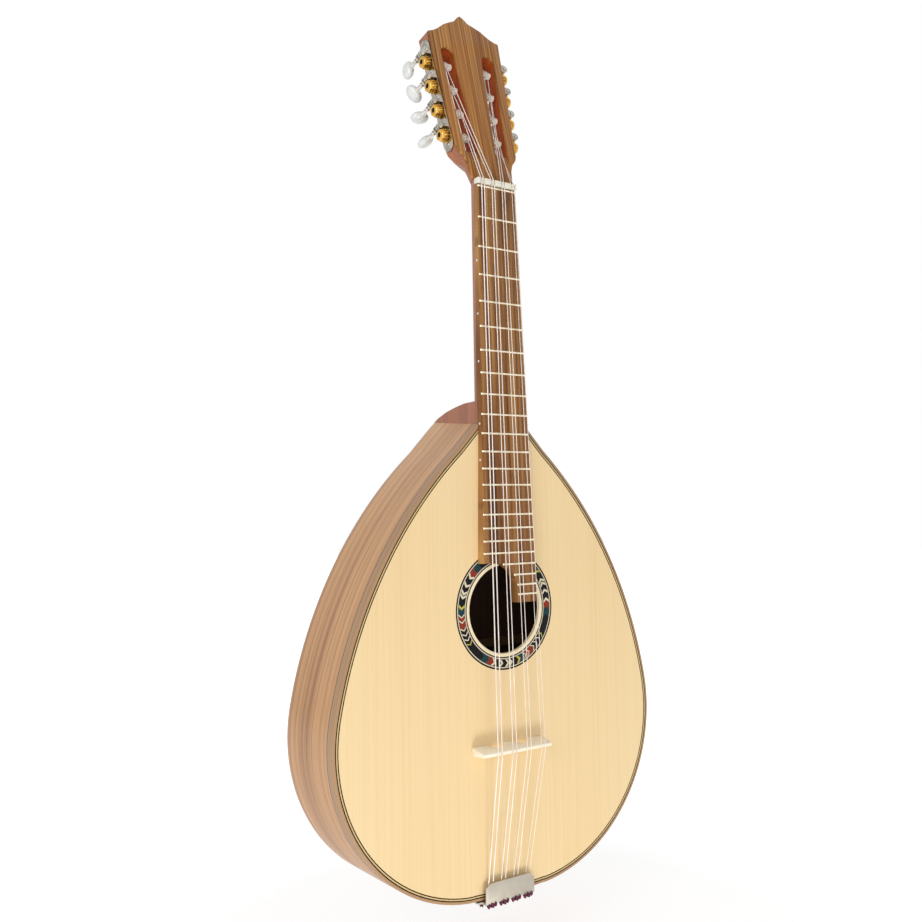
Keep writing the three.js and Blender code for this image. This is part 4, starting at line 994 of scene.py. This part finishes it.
def make_roller(side, name, place):
    """The string roller with its spindle."""
    bm = bmesh.new()
    start, end = CHEEK_THICKNESS + 2 * SEAT, CHEEK_THICKNESS + 2 * SLOT_HALF_WIDTH - 2 * SEAT
    eased, bearing = ROLLER_RADIUS - ROLLER_EASE, end + 2 * SEAT
    turned(bm, [(SPINDLE_RADIUS, -GEAR_MID - 1), (SPINDLE_RADIUS, start), (eased, start),
                (ROLLER_RADIUS, start + ROLLER_EASE), (ROLLER_RADIUS, end - ROLLER_EASE), (eased, end),
                (SPINDLE_RADIUS, end), (SPINDLE_RADIUS, bearing + SPINDLE_FAR_REACH[0]),
                (SPINDLE_RADIUS - ROLLER_EASE, bearing + SPINDLE_FAR_REACH[1])])
    across_the_head(bm, side)
    finished(f"string_roller_{name}", bm, f"spindle_{name}", bone, f"roller_{name}",
             place=place, smooth=30)


def make_worm(side, name, place):
    """The worm, its smooth ends and the neck that the button sits on."""
    bm = bmesh.new()
    shoulder = EAR_OFFSET - EAR_THICKNESS / 2 - SEAT
    shaft_end = BUTTON_CENTRE - BUTTON_HALVES[1] - COLLAR_LENGTH + STEM_SOCKET
    front_ease = 0.3

    def crest(share):
        away = abs(share - round(share)) * GEAR_LEAD
        climb = (TOOTH_ROOT / 2 - away) / (TOOTH_ROOT / 2 - TOOTH_TIP / 2)
        return WORM_CORE_RADIUS + (WORM_CREST_RADIUS - WORM_CORE_RADIUS) * min(max(climb, 0), 1)

    rings = [on_shaft(-SHAFT_FRONT_REACH, JOURNAL_RADIUS - front_ease),
             on_shaft(-SHAFT_FRONT_REACH + front_ease, JOURNAL_RADIUS),
             on_shaft(-shoulder, JOURNAL_RADIUS), on_shaft(-shoulder, WORM_CORE_RADIUS)]
    for i in range(THREAD_TURNS * TURNED_SIDES + 1):
        step = i - THREAD_TURNS * TURNED_SIDES / 2
        y = GEAR_LEAD * step / TURNED_SIDES
        rings.append(on_shaft(y, lambda k: crest((step - k) / TURNED_SIDES + 0.5)))
    rings += [on_shaft(shoulder, WORM_CORE_RADIUS), on_shaft(shoulder, JOURNAL_RADIUS),
              on_shaft(shaft_end, STEM_RADIUS)]
    loft(bm, rings)
    mirror(bm, side)
    finished(f"worm_{name}", bm, f"worm_{name}", shaft_steel, f"worm_shaft_{name}",
             place=place, smooth=40)


def make_button(side, name, place, turn):
    """A flattened oval that swells from its long stem, turned to where the last tuning left it."""
    bm = bmesh.new()
    thick, half_width, half_length = BUTTON_HALVES
    start = BUTTON_CENTRE - half_width
    around = [FULL_TURN * j / 36 for j in range(36)]
    rings = []
    for k in range(1, BUTTON_ROWS):
        a = math.pi * k / BUTTON_ROWS
        y = BUTTON_CENTRE - half_width * math.cos(a)
        grow = math.sin(a) ** BUTTON_FULLNESS
        wide, high = thick * grow, half_length * grow
        rings.append([Vector((wide * math.sin(b), y, high * math.cos(b))) for b in around])
    loft(bm, rings)
    mirror(bm, side)
    turned_place = place @ Matrix.Rotation(side * turn, 4, "Y")
    finished(f"button_oval_{name}", bm, f"worm_{name}", pearl, f"button_{name}", place=turned_place,
             smooth=60)
    bm = bmesh.new()
    collar = start - COLLAR_LENGTH
    turned(bm, [(STEM_RADIUS + 0.1, collar), (2.0, collar), (2.2, collar + 0.3), (2.2, collar + 1.1),
                (1.9, collar + 1.5), (1.95, start - 2.4), (2.2, start - 0.6), (COLLAR_RADIUS, start + 0.2),
                (COLLAR_RADIUS - 0.3, start + 0.9)])
    finished(f"button_collar_{name}", bm, f"worm_{name}", stem_nickel, place=place, smooth=40)


def make_gear_screw(side, name, place):
    """The dark screw in the middle of the gear's end."""
    bm = bmesh.new()
    face = GEAR_MID + GEAR_WIDTH / 2
    turned(bm, [(radius, -face - out) for radius, out in GEAR_SCREW_PROFILE])
    across_the_head(bm, side)
    finished(f"gear_screw_{name}", bm, f"spindle_{name}", black_steel, place=place, smooth=40)


def make_plate_screws(side, bank):
    bm = bmesh.new()
    for rise in PLATE_SCREW_RISES:
        head = bmesh.new()
        turned(head, [(radius, -SEAT - PLATE_SHEET - out) for radius, out in PLATE_SCREW_PROFILE])
        head.transform(Matrix.Translation((0, 0, rise)) @ QUARTER_TURN)
        mirror(head, side)
        take_in(bm, head)
    finished(f"plate_screws_{bank}", bm, "body", nickel, place=cheek(side), smooth=40)


def make_tuners():
    for side, bank in ((-1, "bass"), (1, "treble")):
        for number in range(4):
            name = f"{bank}_{number + 1}"
            place = cheek(side) @ Matrix.Translation((0, 0, number * TUNER_PITCH))
            shaft_place = place @ Matrix.Translation((side * GEAR_MID, 0, WORM_OFFSET))
            make_gear(side, name, place)
            make_roller(side, name, place)
            make_worm(side, name, shaft_place)
            make_button(side, name, shaft_place, BUTTON_TURNS[number])
            make_gear_screw(side, name, place)
        eased_copy(f"machine_plate_{bank}", f"tuner_plate_{bank}", "body", nickel, 0.2)
        make_plate_screws(side, bank)


def mark_slots(bm):
    """Gives the walls of the head's two slots the second material."""
    to_head = HEAD.inverted()
    near, far = SLOT_WALL_DEPTHS
    for face in bm.faces:
        place = to_head @ face.calc_center_median()
        middle = SLOT_OFFSET + (place.z - CHEEK_CORNER_RISE) * math.tan(CHEEK_SPLAY)
        in_slot = abs(abs(place.x) - middle) < SLOT_HALF_WIDTH + 0.3
        if in_slot and place.z > SLOT_WALL_START and near < place.y < far:
            face.material_index = 1


def make_plain_pieces():
    """Pieces whose solids already have the right shape: copied, with their edges eased."""
    eased_copy("neck", "carved_neck", "body", [neck_cedar, cut_cedar], 0, smooth=28,
               rework=mark_slots)
    eased_copy("head_veneer", "head_face", "body", head_walnut, 0.3)
    eased_copy("nut", "bone_nut", "body", bone, 0.12)
    eased_copy("bridge", "maple_bridge", "bridge", bridge_maple, 0.3)
    eased_copy("tailpiece", "tailpiece_sheet", "body", satin_nickel, 0.25)
    for name in ("bass", "treble"):
        eased_copy(f"tailpiece_screw_{name}", f"tail_screw_{name}", "body", nickel, 0.15, smooth=50)
    # The linings, bars and tail block take the dark brown wood, painted shade for the inside of the body.
    for node in ("front_lining_and_bars", "back_lining_and_bars", "tail_block"):
        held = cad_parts[node]
        held.data.materials.clear()
        held.data.materials.append(lining_wood_painted_shade)


make_sides()
make_back()
make_soundboard()
make_rosette()
make_fretboard()
make_strings()
make_tuners()
make_plain_pieces()


# Floor, backdrop and light
FLOOR_HEIGHT = -0.625
FLOOR_HALF_SIZE = 6
PAPER_GLOW = 1.32
SHADOW_POOL = (0.25, 0.7)
POOL_GLOW_SHARE = 0.55
SKY_LEVEL = 0.57


def either_ray(tree, one, other):
    return (add(tree, "ShaderNodeMath", {"operation": "MAXIMUM"}, _0=one, _1=other), "Value")


def white_paper():
    """Seamless white paper: pure white to the camera and in reflections, but it still takes the soft shadow
    in a pool under the instrument."""
    material = bpy.data.materials.new("white_paper")
    material.use_nodes = True
    tree = material.node_tree
    tree.nodes.clear()
    matt = add(tree, "ShaderNodeBsdfDiffuse", Color=(0.96, 0.96, 0.96, 1))
    glow = add(tree, "ShaderNodeEmission", Color=(1, 1, 1, 1), Strength=PAPER_GLOW)
    place = add(tree, "ShaderNodeTexCoord")
    reach = add(tree, "ShaderNodeVectorMath", {"operation": "LENGTH"}, _0=(place, "Object"))
    near, far = SHADOW_POOL
    fade = add(tree, "ShaderNodeMapRange", Value=(reach, "Value"), From_Min=near, From_Max=far,
               To_Min=POOL_GLOW_SHARE, To_Max=1.0)
    seen = add(tree, "ShaderNodeLightPath")
    direct = either_ray(tree, (seen, "Is Camera Ray"), (seen, "Is Glossy Ray"))
    share = add(tree, "ShaderNodeMath", {"operation": "MULTIPLY"}, _0=direct, _1=(fade, "Result"))
    mixed = add(tree, "ShaderNodeMixShader", Fac=(share, "Value"), _1=(matt, "BSDF"), _2=(glow, "Emission"))
    add(tree, "ShaderNodeOutputMaterial", Surface=(mixed, "Shader"))
    return material


def make_floor():
    bm = bmesh.new()
    bmesh.ops.create_grid(bm, x_segments=8, y_segments=8, size=FLOOR_HALF_SIZE)
    mesh = bpy.data.meshes.new("floor")
    bm.to_mesh(mesh)
    bm.free()
    mesh.materials.append(white_paper())
    floor = bpy.data.objects.new("floor", mesh)
    floor.location = (0, 0, FLOOR_HEIGHT)
    floor.visible_shadow = False
    bpy.context.scene.collection.objects.link(floor)


def make_sky():
    """A white backdrop that lights the instrument less than it shows."""
    world = bpy.data.worlds.new("studio")
    world.use_nodes = True
    bpy.context.scene.world = world
    tree = world.node_tree
    tree.nodes.clear()
    path = add(tree, "ShaderNodeLightPath")
    direct = either_ray(tree, (path, "Is Camera Ray"), (path, "Is Glossy Ray"))
    shown = either_ray(tree, direct, (path, "Is Transmission Ray"))
    level = add(tree, "ShaderNodeMapRange", Value=shown, To_Min=SKY_LEVEL, To_Max=1.0)
    sky = add(tree, "ShaderNodeBackground", Color=(1, 1, 1, 1), Strength=(level, "Result"))
    add(tree, "ShaderNodeOutputWorld", Surface=(sky, "Background"))


def lamp(name, place, aim, size, watts):
    """A soft box that points at a spot on the instrument."""
    data = bpy.data.lights.new(name, "AREA")
    data.shape = "DISK"
    data.size = size
    data.energy = watts
    made = bpy.data.objects.new(name, data)
    made.location = place
    made.rotation_euler = (Vector(aim) - Vector(place)).to_track_quat("-Z", "Y").to_euler()
    bpy.context.scene.collection.objects.link(made)


make_floor()
make_sky()
lamp("low_key", (-0.25, -1.3, -1.55), (0, 0, -0.35), 0.6, 12.5)
lamp("front_fill", (-1.9, -1.0, 0.3), (0, 0, -0.3), 1.6, 15)

bpy.context.scene.view_settings.view_transform = "Standard"
